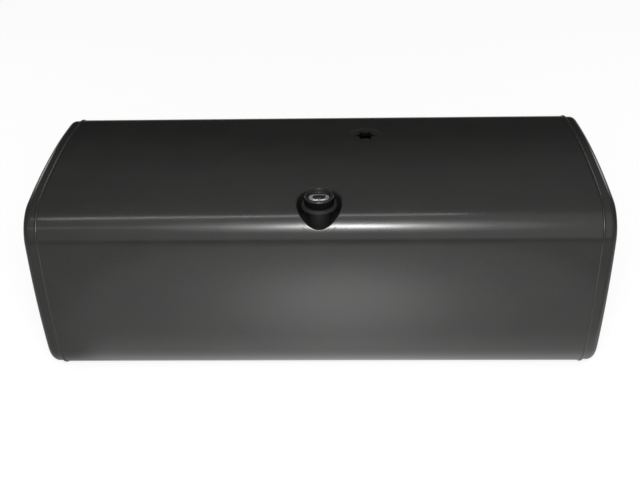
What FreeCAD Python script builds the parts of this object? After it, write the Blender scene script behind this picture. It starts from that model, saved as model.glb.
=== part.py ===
import FreeCAD, Part
import math
import os
import re
import Sketcher

# Truck fuel tank: a rolled steel shell of crowned section with a stamped head telescoped into each end,
# a round filler pocket sunk into the front upper corner and a sender opening in the top.
# X runs along the tank, Y towards its back and Z up. The origin is on the ground under the tank's middle.
# The tank stands on the weld beads that run round it at both heads.

doc = FreeCAD.newDocument("truck_fuel_tank")
sheet = doc.addObject("Spreadsheet::Sheet", "Sizes")

# Driving dimensions, in millimetres and degrees.
# Heights called "above the seat" are taken from the face of the neck flange that the cap seals on.
SIZES = {
    "overall_length": (1600, "over the two heads"),
    "shell_width": (684, "front to back at mid height"),
    "shell_height": (568, "flat bottom to the crown of the top"),
    "corner_radius": (107, "outside radius of the four long corners"),
    "crown_radius": (1974, "slow outward bow of the top, front and back"),
    "wall": (2, "sheet of the shell, heads and pocket"),
    "skirt_length": (39, "part of a head that shows beyond the shell"),
    "lap_length": (25, "part of a head's skirt inside the shell"),
    "lap_clearance": (0.2, "between the skirt and the shell round it"),
    "head_edge_radius": (20, "between a head's end wall and its skirt"),
    "bead_width": (7, "weld bead along the tank"),
    "bead_height": (2.5, "weld bead above the shell"),
    "bead_edge": (2.4, "rounding of the weld bead"),
    "long_bead_radius": (4, "round of the bead on the shell's own seam"),
    "long_bead_height": (1.8, "that bead above the shell"),
    "baffle_place": (270, "middle of the tank to each baffle's plate"),
    "baffle_sheet": (1.5, "sheet of a baffle"),
    "baffle_flange": (18, "width of a baffle's turned edge"),
    "baffle_bend": (6, "outside radius of that turn"),
    "baffle_clearance": (0.3, "between a baffle's edge and the shell"),
    "baffle_port_radius": (75, "large hole in a baffle"),
    "baffle_vent_radius": (30, "small holes in a baffle"),
    "baffle_vent_across": (200, "middle plane to a small hole"),
    "baffle_vent_up": (150, "mid height to a small hole"),
    "baffle_notch": (40, "radius of the drain notch at a baffle's foot"),
    "pocket_x": (4, "middle of the tank to the filler's axis"),
    "pocket_setback": (84, "front of the shell to the filler's axis"),
    "pocket_radius": (61.5, "inside radius of the filler pocket"),
    "pocket_front_depth": (11.8, "pocket's floor below its rim at the front, where it is shallowest"),
    "pocket_lip": (1.2, "rounding of the pocket's rim"),
    "pocket_margin": (10, "sheet of the pocket outside its rim"),
    "butt_gap": (0.2, "between the pocket's edge and the shell"),
    "seat_depth": (19.5, "top of the shell to the face that the cap seals on"),
    "neck_bore": (30, "inside radius of the neck tube"),
    "neck_wall": (2, "sheet of the neck tube"),
    "neck_tail": (55, "neck tube below the pocket's floor"),
    "neck_collar": (6, "width of the collar that rests on the floor"),
    "neck_fit": (0.1, "between the neck tube and the floor's hole"),
    "flange_sheet": (2.5, "sheet of the neck flange"),
    "flange_bore": (23, "radius of its bore"),
    "flange_flat": (46, "radius of its flat face"),
    "flange_rim": (50, "radius of its sloping rim"),
    "flange_drop": (9, "height of that rim"),
    "notch_radius": (29.6, "reach of the two notches for the lugs"),
    "notch_angle": (48, "width of a notch"),
    "seal_inner": (30.5, "inside radius of the cap's seal"),
    "seal_outer": (36, "outside radius of the seal"),
    "seal_thickness": (3, "seal between the cap and its seat"),
    "cap_radius": (41, "outside radius of the cap"),
    "cap_top": (24, "cap's rim above the seat"),
    "cap_bottom": (2, "cap's skirt above the seat"),
    "cap_wall": (2.5, "wall of the cap's skirt"),
    "cap_edge": (5, "rounding of the cap's rim"),
    "cap_lip": (1, "edge rolled in under the core"),
    "cap_clearance": (0.3, "between loose pieces of the cap"),
    "dish_radius": (34, "cap's dish at its mouth"),
    "dish_floor_radius": (31.5, "cap's dish at its floor"),
    "dish_depth": (11, "cap's rim to the dish's floor"),
    "dish_sheet": (2, "cap under the dish"),
    "grip_length": (56, "oblong grip"),
    "grip_width": (30, "oblong grip"),
    "grip_height": (4, "grip above the dish's floor"),
    "grip_edge": (1.5, "rounding of the grip"),
    "core_thickness": (3, "disc of the core"),
    "core_ring_inner": (28, "inside radius of the ring that carries the cover"),
    "core_ring_outer": (32, "outside radius of that ring"),
    "stem_radius": (22, "core where it passes through the flange"),
    "lug_radius": (29, "reach of the bayonet lugs"),
    "lug_angle": (40, "width of a lug"),
    "lug_gap": (0.3, "between the lugs and the flange"),
    "plate_sheet": (2.5, "bayonet plate"),
    "screw_radius": (3, "screw in the middle of the plate"),
    "screw_head_radius": (5.5, "its countersunk head"),
    "screw_length": (5.5, "head and shank"),
    "vent_radius": (2.4, "vent insert"),
    "vent_head_radius": (3.8, "its head"),
    "vent_head_height": (1.5, "its head"),
    "vent_place": (18.5, "filler's axis to the insert"),
    "vent_bearing": (135, "direction of the insert from the axis"),
    "barrel_radius": (7.5, "lock barrel"),
    "barrel_head_radius": (8.5, "its head in the grip"),
    "barrel_head_height": (1.5, "its head in the grip"),
    "barrel_tail_radius": (6, "its end, which carries the cam"),
    "barrel_tail_depth": (4.5, "its end inside the core"),
    "running_gap": (0.05, "between a turning round and its hole"),
    "key_slot_length": (7, "key slot"),
    "key_slot_width": (2.2, "key slot"),
    "key_slot_depth": (8, "key slot"),
    "cam_low": (9.5, "smallest radius of the lock's cam"),
    "cam_thickness": (4, "lock's cam"),
    "cam_gap": (0.5, "between the cam and what it moves past"),
    "bolt_throw": (4, "travel of the lock's bolt"),
    "bolt_width": (7, "lock's bolt"),
    "bolt_height": (4, "lock's bolt"),
    "bolt_reach": (38, "bolt's end from the axis, when engaged"),
    "keeper_depth": (3, "pad in the skirt that holds the bolt"),
    "keeper_width": (15, "pad in the skirt that holds the bolt"),
    "shutter_length": (34, "key shutter"),
    "shutter_width": (13, "key shutter"),
    "shutter_thickness": (1.5, "key shutter"),
    "shutter_pin_radius": (1.5, "pin that the shutter turns on"),
    "shutter_pin_length": (3.5, "pin in the grip"),
    "shutter_pin_wall": (0.35, "grip left between the pin's hole and the barrel's head"),
    "sender_x": (135.5, "middle of the tank to the sender opening"),
    "sender_y": (110, "middle plane to the sender opening"),
    "sender_seat_radius": (49, "flat pressed into the shell"),
    "sender_seat_depth": (1.2, "that flat below the crown"),
    "sender_bore": (19, "radius of the opening"),
    "sender_circle": (27, "radius of the circle of screw holes"),
    "sender_slot": (6.5, "width of the slots in the shell that the screws pass"),
    "sender_thread_hole": (3, "radius of a hole in the ring"),
    "sender_ring_radius": (36, "weld ring under the shell"),
    "sender_ring_height": (8, "weld ring under the shell"),
    "drain_x": (-150, "middle of the tank to the drain"),
    "drain_boss_radius": (22, "drain boss"),
    "drain_boss_height": (22, "drain boss"),
    "drain_thread_radius": (11, "thread of the drain plug"),
    "drain_recess_radius": (17, "recess for the plug's flange"),
    "drain_recess_depth": (8, "recess for the plug's flange"),
    "drain_washer_radius": (15, "sealing washer"),
    "drain_washer_thickness": (1.5, "sealing washer"),
    "drain_flange_radius": (15.5, "flange of the plug"),
    "drain_flange_height": (3.5, "flange of the plug"),
    "drain_shank": (13, "threaded length of the plug"),
    "drain_key": (12, "hexagon socket across its flats"),
    "drain_key_depth": (7, "hexagon socket"),
    "thread_clearance": (0.05, "between a thread and its hole"),
    "overcut": (5, "length by which a cutting form runs past what it cuts"),
}
SCREWS = 6
LUGS = 2
CAM_STEPS = 12

# Places that several pieces share, worked out from the sizes above. The crowns' centres lie CROWN_ACROSS
# and CROWN_UP apart, and an upper corner's centre is as far from both as the two radii differ.
CROWN_ACROSS = "(shell_width / 2 - crown_radius)"
CROWN_UP = "(crown_radius - shell_height / 2)"
CORNER_SHIFT = f"sqrt((crown_radius - corner_radius) ^ 2 / ({CROWN_ACROSS} ^ 2 + {CROWN_UP} ^ 2) - 1 / 4)"
CORNER_ACROSS = f"({CROWN_ACROSS} / 2 + {CROWN_UP} * {CORNER_SHIFT})"
CORNER_UP = f"(shell_height - crown_radius + {CROWN_UP} / 2 - {CROWN_ACROSS} * {CORNER_SHIFT})"
TANK_TOP = "(bead_height + shell_height)"
FILLER_Y = "(pocket_setback - shell_width / 2)"
FRONT_RIM = f"sqrt(corner_radius ^ 2 - (pocket_radius - {FILLER_Y} - {CORNER_ACROSS}) ^ 2)"
POCKET_FLOOR = f"(bead_height + {CORNER_UP} + {FRONT_RIM} - pocket_front_depth)"
SEAT = f"({TANK_TOP} - seat_depth)"

for row, (alias, (number, note)) in enumerate(SIZES.items(), start=1):
    sheet.set(f"A{row}", alias)
    sheet.set(f"B{row}", str(number))
    sheet.setAlias(f"B{row}", alias)
    sheet.set(f"C{row}", note)
doc.recompute()


def on_sheet(expression):
    """The expression with each size's name pointed at its cell."""

    def pointed(word):
        return f"Sizes.{word[0]}" if word[0] in SIZES else word[0]

    return re.sub(r"[a-z_]+", pointed, str(expression))


def bind(item, **properties):
    """Ties properties to expressions on the sheet; two underscores stand for a dot."""
    for name, expression in properties.items():
        item.setExpression(name.replace("__", "."), on_sheet(expression))
    return item


def place(item, x=0, y=0, z=0, turn=None, axis=(0, 0, 1)):
    """Puts an item at a point and, if a turn is given, turns it about an axis through that point."""
    if turn is not None:
        item.Placement = FreeCAD.Placement(FreeCAD.Vector(), FreeCAD.Rotation(FreeCAD.Vector(*axis), 1))
        bind(item, Placement__Rotation__Angle=turn)
    return bind(item, Placement__Base__x=x, Placement__Base__y=y, Placement__Base__z=z)


def new_body(name):
    return doc.addObject("PartDesign::Body", name)


def new_sketch(body, name, plane_role, offset=0):
    """A sketch on one of the body's own planes, moved along that plane's normal by an offset."""
    sketch = body.newObject("Sketcher::SketchObject", name)
    plane = next(item for item in body.Origin.OriginFeatures if item.Role == plane_role)
    sketch.AttachmentSupport = [(plane, "")]
    sketch.MapMode = "FlatFace"
    return bind(sketch, AttachmentOffset__Base__z=offset)


def number(expression):
    """What an expression on the sheet comes to."""
    value = sheet.Document.getObject("Gauge").evalExpression(on_sheet(expression))
    return float(getattr(value, "Value", value))


def hold(sketch, kind, expression, *where):
    """Adds a dimension that follows an expression."""
    index = sketch.addConstraint(Sketcher.Constraint(kind, *where, number(expression)))
    sketch.setExpression(f"Constraints[{index}]", on_sheet(expression))


def hold_point(sketch, geometry, point, x, y):
    """Holds one point of the sketch by its two distances from the origin."""
    for kind, axis, expression in (("DistanceX", -2, x), ("DistanceY", -1, y)):
        if expression == 0:
            sketch.addConstraint(Sketcher.Constraint("PointOnObject", geometry, point, axis))
        else:
            hold(sketch, kind, expression, geometry, point)


def draw_outline(sketch, corners):
    """A closed outline of straight lines through corners that are pairs of expressions."""
    points = [FreeCAD.Vector(number(x), number(y), 0) for x, y in corners]
    count = len(points)
    for index in range(count):
        sketch.addGeometry(Part.LineSegment(points[index], points[(index + 1) % count]), False)
    for index in range(count):
        sketch.addConstraint(Sketcher.Constraint("Coincident", index, 2, (index + 1) % count, 1))
    for index, (x, y) in enumerate(corners):
        hold_point(sketch, index, 1, x, y)


def draw_circle(sketch, x, y, radius):
    centre = FreeCAD.Vector(number(x), number(y), 0)
    circle = sketch.addGeometry(Part.Circle(centre, FreeCAD.Vector(0, 0, 1), number(radius)), False)
    hold_point(sketch, circle, 3, x, y)
    hold(sketch, "Radius", radius, circle)


def draw_slot(sketch, length, width):
    """An outline with round ends, centred on the origin and long along the sketch's first axis."""
    half_run = number(f"({length} - {width}) / 2")
    radius = number(f"{width} / 2")
    normal = FreeCAD.Vector(0, 0, 1)
    left, right = FreeCAD.Vector(-half_run, 0, 0), FreeCAD.Vector(half_run, 0, 0)
    up = FreeCAD.Vector(0, radius, 0)
    quarter = math.pi / 2
    right_end = Part.ArcOfCircle(Part.Circle(right, normal, radius), -quarter, quarter)
    left_end = Part.ArcOfCircle(Part.Circle(left, normal, radius), quarter, 3 * quarter)
    sketch.addGeometry(Part.LineSegment(left - up, right - up), False)
    sketch.addGeometry(right_end, False)
    sketch.addGeometry(Part.LineSegment(right + up, left + up), False)
    sketch.addGeometry(left_end, False)
    for first in range(4):
        sketch.addConstraint(Sketcher.Constraint("Tangent", first, 2, (first + 1) % 4, 1))
    hold(sketch, "Radius", f"{width} / 2", 1)
    hold_point(sketch, 1, 3, f"({length} - {width}) / 2", 0)
    hold_point(sketch, 3, 3, f"-({length} - {width}) / 2", 0)


def draw_section(sketch, inset):
    """The tank's section, smaller all round by an inset: a flat foot, three slow bows and four round corners.
    The bows and corners keep their centres, so each inset takes the same off every radius.
    """
    half_width, height = number("shell_width / 2"), number("shell_height")
    crown, corner, inward = number("crown_radius"), number("corner_radius"), number(inset)
    crown_side = FreeCAD.Vector(half_width - crown, height / 2, 0)
    crown_top = FreeCAD.Vector(0, height - crown, 0)
    upper = FreeCAD.Vector(number(CORNER_ACROSS), number(CORNER_UP), 0)
    across = math.sqrt((crown - corner) ** 2 - (corner - crown_side.y) ** 2)
    lower = FreeCAD.Vector(crown_side.x + across, corner, 0)

    def across_middle(point):
        return FreeCAD.Vector(-point.x, point.y, 0)

    def arc(centre, radius, start, end):
        angles = [math.atan2(point.y - centre.y, point.x - centre.x) for point in (start, end)]
        circle = Part.Circle(centre, FreeCAD.Vector(0, 0, 1), radius)
        sketch.addGeometry(Part.ArcOfCircle(circle, *angles), False)

    foot = FreeCAD.Vector(lower.x, inward, 0)
    side_low = lower + (lower - crown_side).normalize() * (corner - inward)
    side_high = upper + (upper - crown_side).normalize() * (corner - inward)
    top_right = upper + (upper - crown_top).normalize() * (corner - inward)
    left = [across_middle(point) for point in (foot, side_low, side_high, top_right)]
    sketch.addGeometry(Part.LineSegment(left[0], foot), False)
    arc(lower, corner - inward, foot, side_low)
    arc(crown_side, crown - inward, side_low, side_high)
    arc(upper, corner - inward, side_high, top_right)
    arc(crown_top, crown - inward, top_right, left[3])
    arc(across_middle(upper), corner - inward, left[3], left[2])
    arc(across_middle(crown_side), crown - inward, left[2], left[1])
    arc(across_middle(lower), corner - inward, left[1], left[0])
    for first in range(8):
        sketch.addConstraint(Sketcher.Constraint("Tangent", first, 2, (first + 1) % 8, 1))
    for geometry in (1, 3, 5, 7):
        hold(sketch, "Radius", f"corner_radius - ({inset})", geometry)
    for geometry in (2, 4, 6):
        hold(sketch, "Radius", f"crown_radius - ({inset})", geometry)
    hold_point(sketch, 2, 3, "shell_width / 2 - crown_radius", "shell_height / 2")
    hold_point(sketch, 6, 3, "crown_radius - shell_width / 2", "shell_height / 2")
    hold_point(sketch, 4, 3, 0, "shell_height - crown_radius")
    if inward:
        hold(sketch, "DistanceY", inset, 0, 1)
    else:
        sketch.addConstraint(Sketcher.Constraint("PointOnObject", 0, 1, -1))


def pad(body, sketch, name, length):
    feature = body.newObject("PartDesign::Pad", name)
    feature.Profile = sketch
    return bind(feature, Length=length)


def revolve(body, sketch, name):
    """Turns an outline on the XZ plane right round the Z axis."""
    feature = body.newObject("PartDesign::Revolution", name)
    feature.Profile = sketch
    feature.ReferenceAxis = (sketch, ["V_Axis"])
    feature.Angle = 360
    return feature


def turned(name, corners):
    """A turned piece, from half of its section as pairs of radius and height."""
    body = new_body(name)
    sketch = new_sketch(body, f"{name}_half_section", "XZ_Plane")
    draw_outline(sketch, corners)
    revolve(body, sketch, f"{name}_turned")
    return body


def section_block(name, inset, start, length, edge_radius=None, edge_at=()):
    """A length of the tank's section, from a place along X, with the edges of the named ends rounded."""
    body = new_body(name)
    sketch = new_sketch(body, f"{name}_section", "YZ_Plane", start)
    draw_section(sketch, inset)
    block = pad(body, sketch, f"{name}_pad", length)
    if edge_radius is not None:
        doc.recompute()
        places = [number(end) for end in edge_at]
        flat = [
            f"Edge{index}"
            for index, edge in enumerate(block.Shape.Edges, start=1)
            if any(abs(edge.BoundBox.XMin - x) < 1e-3 and abs(edge.BoundBox.XMax - x) < 1e-3 for x in places)
        ]
        rounding = body.newObject("PartDesign::Fillet", f"{name}_rounding")
        rounding.Base = (block, flat)
        bind(rounding, Radius=edge_radius)
    return body


def cylinder(name, radius, height, x=0, y=0, z=0, angle=360, **turn):
    item = doc.addObject("Part::Cylinder", name)
    bind(item, Radius=radius, Height=height, Angle=angle)
    return place(item, x, y, z, **turn)


def box(name, length, width, height, x=0, y=0, z=0, **turn):
    item = doc.addObject("Part::Box", name)
    bind(item, Length=length, Width=width, Height=height)
    return place(item, x, y, z, **turn)


def fuse(name, *items):
    result = doc.addObject("Part::MultiFuse", name)
    result.Shapes = list(items)
    return result


def common(name, *items):
    result = doc.addObject("Part::MultiCommon", name)
    result.Shapes = list(items)
    return result


def cut(name, base, *tools):
    """The base less its tools, which are first joined where there are several."""
    result = doc.addObject("Part::Cut", name)
    result.Base = base
    result.Tool = tools[0] if len(tools) == 1 else fuse(f"{name}_tools", *tools)
    return result


doc.addObject("PartDesign::Body", "Gauge")
PARTS = {}


def keep(name, item):
    """Lists an item as one of the tank's pieces, under its own name."""
    item.Label = name
    PARTS[name] = item
    return item


# Shell: one sheet rolled to the section, with a flat pressed in for the sender and three openings.
# The sender's opening is a round hole with six lobes, where its screws pass.

SHELL_LENGTH = "(overall_length - 2 * skirt_length)"
SENDER_TILT = "-asin(sender_y / crown_radius)"


def on_sender(item, level):
    """Stands an item square to the shell at the sender, with its foot at a level above the shell's crown."""
    grown = f"(1 + ({level}) / crown_radius)"
    return place(
        item,
        "sender_x",
        f"sender_y * {grown}",
        f"{TANK_TOP} - crown_radius + sqrt(crown_radius ^ 2 - sender_y ^ 2) * {grown}",
        turn=SENDER_TILT,
        axis=(1, 0, 0),
    )


def patterned(body, feature, sketch, angle, count):
    """Repeats a body's feature about its sketch's own axis."""
    pattern = body.newObject("PartDesign::PolarPattern", f"{body.Name}_pattern")
    pattern.Originals = [feature]
    pattern.Axis = (sketch, ["N_Axis"])
    pattern.Angle = angle
    pattern.Occurrences = count
    body.Tip = pattern
    return body


def screw_slots(name, height):
    """Slots across the sender's opening, each as long as two screws opposite each other need."""
    body = new_body(name)
    sketch = new_sketch(body, f"{name}_outline", "XY_Plane")
    draw_slot(sketch, "(2 * sender_circle + sender_slot)", "sender_slot")
    slot = pad(body, sketch, f"{name}_first", height)
    return patterned(body, slot, sketch, 180 - 360 / SCREWS, SCREWS // 2)


def screw_holes(name, radius, height):
    """The sender's circle of screw holes, as one form to cut with."""
    body = new_body(name)
    sketch = new_sketch(body, f"{name}_circle", "XY_Plane")
    draw_circle(sketch, "sender_circle", 0, radius)
    hole = pad(body, sketch, f"{name}_first", height)
    return patterned(body, hole, sketch, 360, SCREWS)


def make_shell():
    outside = section_block("shell_outside", "0", f"-{SHELL_LENGTH} / 2", SHELL_LENGTH)
    inside = section_block(
        "shell_inside", "wall", f"-{SHELL_LENGTH} / 2 - overcut", f"{SHELL_LENGTH} + 2 * overcut"
    )
    for form in (outside, inside):
        place(form, z="bead_height")
    tube = cut("shell_tube", outside, inside)
    seat_level = "-sender_seat_depth - wall"
    seat = on_sender(cylinder("sender_seat", "sender_seat_radius + wall", "wall"), seat_level)
    pressed = fuse("shell_pressed", tube, seat)
    recess = cylinder("sender_recess", "sender_seat_radius", "sender_seat_depth + overcut")
    on_sender(recess, "-sender_seat_depth")
    bore = cylinder("sender_way", "sender_bore", "sender_seat_depth + wall + 2 * overcut")
    slots = screw_slots("shell_screw_slots", "sender_seat_depth + wall + 2 * overcut")
    for way in (bore, slots):
        on_sender(way, f"{seat_level} - overcut")
    filler = cylinder(
        "filler_way",
        "pocket_radius + pocket_margin + butt_gap",
        "shell_height",
        x="pocket_x",
        y=FILLER_Y,
        z="bead_height + shell_height / 2",
    )
    drain = cylinder(
        "drain_way", "drain_boss_radius + butt_gap", "2 * overcut", x="drain_x", z="bead_height - overcut"
    )
    keep("shell", cut("shell", pressed, recess, bore, slots, filler, drain))


# Heads: a shallow pan each, its skirt telescoped into the shell.

SKIRT_INSET = "wall + lap_clearance"


def make_head(name, turn):
    """A head for the right end, turned about the upright axis to suit its own end."""
    start = "overall_length / 2 - skirt_length - lap_length"
    depth = "skirt_length + lap_length"
    outside = section_block(
        f"{name}_outside", SKIRT_INSET, start, depth, "head_edge_radius", ["overall_length / 2"]
    )
    inside = section_block(
        f"{name}_inside",
        f"{SKIRT_INSET} + wall",
        f"{start} - overcut",
        f"{depth} + overcut - wall",
        "head_edge_radius - wall",
        ["overall_length / 2 - wall"],
    )
    keep(name, place(cut(name, outside, inside), z="bead_height", turn=turn))


# Welds: a bead round the tank over the edge of the shell at each head, and one along the shell's own seam.


def make_seam_weld(name, turn):
    """The bead stands on the shell inboard of the seam and reaches down to the skirt beyond it."""
    middle = f"{SHELL_LENGTH} / 2"
    outside = section_block(
        f"{name}_outside",
        "-bead_height",
        f"{middle} - bead_width / 2",
        "bead_width",
        "bead_edge",
        [f"{middle} - bead_width / 2", f"{middle} + bead_width / 2"],
    )
    on_shell = section_block(f"{name}_on_shell", "0", f"{middle} - bead_width", "bead_width")
    on_skirt = section_block(f"{name}_on_skirt", SKIRT_INSET, f"{middle} - overcut", "bead_width + overcut")
    keep(name, place(cut(name, outside, on_shell, on_skirt), z="bead_height", turn=turn))


def make_long_seam_weld():
    length = f"({SHELL_LENGTH} - bead_width)"
    rod = cylinder(
        "long_bead",
        "long_bead_radius",
        length,
        x=f"-{length} / 2",
        y="shell_width / 2 + long_bead_height - long_bead_radius",
        z="bead_height + shell_height / 2",
        turn="90",
        axis=(0, 1, 0),
    )
    shell_form = section_block("long_bead_seat", "0", f"-{SHELL_LENGTH} / 2", SHELL_LENGTH)
    place(shell_form, z="bead_height")
    keep("long_seam_weld", cut("long_seam_weld", rod, shell_form))


# Baffles: flanged plates across the tank, with holes that let the fuel pass slowly.


def make_baffle(name, turn):
    """A baffle for the right half: its plate faces the tank's middle and its edge turns outward."""
    outside = section_block(
        f"{name}_outside",
        "wall + baffle_clearance",
        "baffle_place",
        "baffle_flange",
        "baffle_bend",
        ["baffle_place"],
    )
    inside = section_block(
        f"{name}_inside",
        "wall + baffle_clearance + baffle_sheet",
        "baffle_place + baffle_sheet",
        "baffle_flange",
        "baffle_bend - baffle_sheet",
        ["baffle_place + baffle_sheet"],
    )
    holes = new_body(f"{name}_holes")
    sketch = new_sketch(holes, f"{name}_hole_circles", "YZ_Plane", "baffle_place - overcut")
    draw_circle(sketch, 0, "shell_height / 2", "baffle_port_radius")
    for across in ("-baffle_vent_across", "baffle_vent_across"):
        for up in ("shell_height / 2 - baffle_vent_up", "shell_height / 2 + baffle_vent_up"):
            draw_circle(sketch, across, up, "baffle_vent_radius")
    draw_circle(sketch, 0, "wall", "baffle_notch")
    pad(holes, sketch, f"{name}_hole_pad", "baffle_flange + 2 * overcut")
    keep(name, place(cut(name, outside, inside, holes), z="bead_height", turn=turn))


# Filler pocket: a round cup sunk into the front upper corner, with a rim that follows the shell.


def pocket_form(name, inset, radius, floor, lip=None):
    """The tank's solid form round the pocket, with the cup's hollow taken out."""
    half = "(pocket_radius + 2 * pocket_margin)"
    block = section_block(f"{name}_block", inset, f"pocket_x - {half}", f"2 * {half}")
    place(block, z="bead_height")
    hollow = cylinder(f"{name}_hollow", radius, "shell_height", x="pocket_x", y=FILLER_Y, z=floor)
    form = cut(f"{name}_cut", block, hollow)
    if lip is None:
        return form
    doc.recompute()
    axis = FreeCAD.Vector(number("pocket_x"), number(FILLER_Y), 0)
    floor_level, reach = number(floor), number(radius)
    rim = []
    for index, edge in enumerate(form.Shape.Edges, start=1):
        points = edge.discretize(5)
        round_axis = all(abs(math.hypot(p.x - axis.x, p.y - axis.y) - reach) < 0.01 for p in points)
        if round_axis and edge.BoundBox.ZMax > floor_level + 1 and edge.BoundBox.XLength > 1:
            rim.append(index)
    rounding = doc.addObject("Part::Fillet", f"{name}_lip")
    rounding.Base = form
    rounding.Edges = [(index, number(lip), number(lip)) for index in rim]
    return rounding


def make_filler_pocket():
    outside = pocket_form("pocket_outside", "0", "pocket_radius", POCKET_FLOOR, "pocket_lip")
    inside = pocket_form("pocket_inside", "wall", "pocket_radius + wall", f"{POCKET_FLOOR} - wall")
    skin = cut("pocket_skin", outside, inside)
    edge = cylinder(
        "pocket_edge",
        "pocket_radius + pocket_margin",
        "shell_height",
        x="pocket_x",
        y=FILLER_Y,
        z="bead_height + shell_height / 2",
    )
    trimmed = common("pocket_trimmed", skin, edge)
    neck_way = cylinder(
        "neck_way",
        "neck_bore + neck_wall + neck_fit",
        "wall + 2 * overcut",
        x="pocket_x",
        y=FILLER_Y,
        z=f"{POCKET_FLOOR} - wall - overcut",
    )
    keep("filler_pocket", cut("filler_pocket", trimmed, neck_way))


def on_filler(item):
    """Puts a piece that is drawn from the seat on the filler's axis."""
    return place(item, "pocket_x", FILLER_Y, SEAT)


def make_filler_neck():
    outer = "neck_bore + neck_wall"
    floor = f"({POCKET_FLOOR} - {SEAT})"
    neck = turned(
        "filler_neck",
        [
            ("neck_bore", f"{floor} - neck_tail"),
            (outer, f"{floor} - neck_tail"),
            (outer, floor),
            (f"{outer} + neck_collar", floor),
            (f"{outer} + neck_collar", f"{floor} + neck_wall"),
            (outer, f"{floor} + neck_wall"),
            (outer, "-flange_sheet"),
            ("neck_bore", "-flange_sheet"),
        ],
    )
    keep("filler_neck", on_filler(neck))


def sectors(name, radius, angle, bottom, height):
    """Two opposite sectors of a disc, centred on the X axis."""
    return [
        cylinder(
            f"{name}_{number_of_lug}",
            radius,
            height,
            z=bottom,
            angle=angle,
            turn=f"{number_of_lug * 360 / LUGS} - ({angle}) / 2",
        )
        for number_of_lug in range(LUGS)
    ]


def make_neck_flange():
    ring = turned(
        "neck_flange_ring",
        [
            ("flange_bore", "-flange_sheet"),
            ("flange_flat", "-flange_sheet"),
            ("flange_rim - flange_sheet", "-flange_drop"),
            ("flange_rim", "-flange_drop"),
            ("flange_flat + flange_sheet / 2", 0),
            ("flange_bore", 0),
        ],
    )
    notches = sectors(
        "flange_notch", "notch_radius", "notch_angle", "-flange_sheet - overcut", "2 * overcut + flange_sheet"
    )
    keep("neck_flange", on_filler(cut("neck_flange", ring, *notches)))


# Cap: a cast cover on a moulded core, with a bayonet plate under it and a lock in its middle.

COVER_UNDER = "cap_top - dish_depth - dish_sheet"
CORE_TOP = "seal_thickness + core_thickness"
GRIP_TOP = "cap_top - dish_depth + grip_height"
PLATE_TOP = "-flange_sheet - lug_gap"
SHUTTER_PIN = "barrel_head_radius + cap_clearance + shutter_pin_wall + running_gap + shutter_pin_radius"


def make_cap_cover():
    skirt_inside = "cap_radius - cap_wall"
    shape = turned(
        "cap_cover_form",
        [
            ("cap_radius", "cap_bottom"),
            ("cap_radius", "cap_top"),
            ("dish_radius", "cap_top"),
            ("dish_floor_radius", "cap_top - dish_depth"),
            (0, "cap_top - dish_depth"),
            (0, COVER_UNDER),
            ("dish_floor_radius + dish_sheet", COVER_UNDER),
            ("dish_radius + dish_sheet", "cap_top - 2 * dish_sheet"),
            (skirt_inside, "cap_top - 2 * dish_sheet"),
            (skirt_inside, "cap_bottom + cap_lip"),
            ("seal_outer + cap_clearance", "cap_bottom + cap_lip"),
            ("seal_outer + cap_clearance", "cap_bottom"),
        ],
    )
    doc.recompute()
    revolution = shape.Tip
    rim = [
        f"Edge{index}"
        for index, edge in enumerate(revolution.Shape.Edges, start=1)
        if abs(edge.BoundBox.ZMin - number("cap_top")) < 1e-3
        and abs(edge.BoundBox.XLength - number("2 * cap_radius")) < 0.01
    ]
    rounding = shape.newObject("PartDesign::Fillet", "cap_rim_rounding")
    rounding.Base = (revolution, rim)
    bind(rounding, Radius="cap_edge")

    grip = new_body("cap_grip")
    sketch = new_sketch(grip, "cap_grip_outline", "XY_Plane", "cap_top - dish_depth")
    draw_slot(sketch, "grip_length", "grip_width")
    block = pad(grip, sketch, "cap_grip_pad", "grip_height")
    doc.recompute()
    upper = [
        f"Edge{index}"
        for index, edge in enumerate(block.Shape.Edges, start=1)
        if edge.BoundBox.ZMin > number(GRIP_TOP) - 1e-3
    ]
    grip_rounding = grip.newObject("PartDesign::Fillet", "cap_grip_rounding")
    grip_rounding.Base = (block, upper)
    bind(grip_rounding, Radius="grip_edge")

    keeper = common(
        "keeper_pad",
        box(
            "keeper_block",
            "keeper_depth + cap_wall",
            "keeper_width",
            f"cap_top - 2 * dish_sheet - ({CORE_TOP})",
            x="cap_radius - cap_wall - keeper_depth",
            y="-keeper_width / 2",
            z=CORE_TOP,
        ),
        cylinder("keeper_round", "cap_radius - cap_wall / 2", "cap_top"),
    )
    solid = fuse("cap_cover_solid", shape, grip, keeper)
    bolt_way = box(
        "keeper_slot",
        "bolt_reach + cap_clearance - barrel_radius",
        "bolt_width + 2 * cap_clearance",
        "bolt_height + cap_clearance",
        x="barrel_radius",
        y="-bolt_width / 2 - cap_clearance",
        z=CORE_TOP,
    )
    barrel_way = cylinder(
        "barrel_way", "barrel_radius + running_gap", "dish_depth + grip_height", z=f"{COVER_UNDER} - overcut"
    )
    head_way = cylinder(
        "barrel_head_way",
        "barrel_head_radius + cap_clearance",
        "barrel_head_height + overcut",
        z=f"{GRIP_TOP} - barrel_head_height",
    )
    pin_way = cylinder(
        "shutter_pin_way",
        "shutter_pin_radius + running_gap",
        "shutter_pin_length + cap_clearance + overcut",
        x=SHUTTER_PIN,
        z=f"{GRIP_TOP} - shutter_pin_length - cap_clearance",
    )
    keep("cap_cover", on_filler(cut("cap_cover", solid, bolt_way, barrel_way, head_way, pin_way)))


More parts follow.
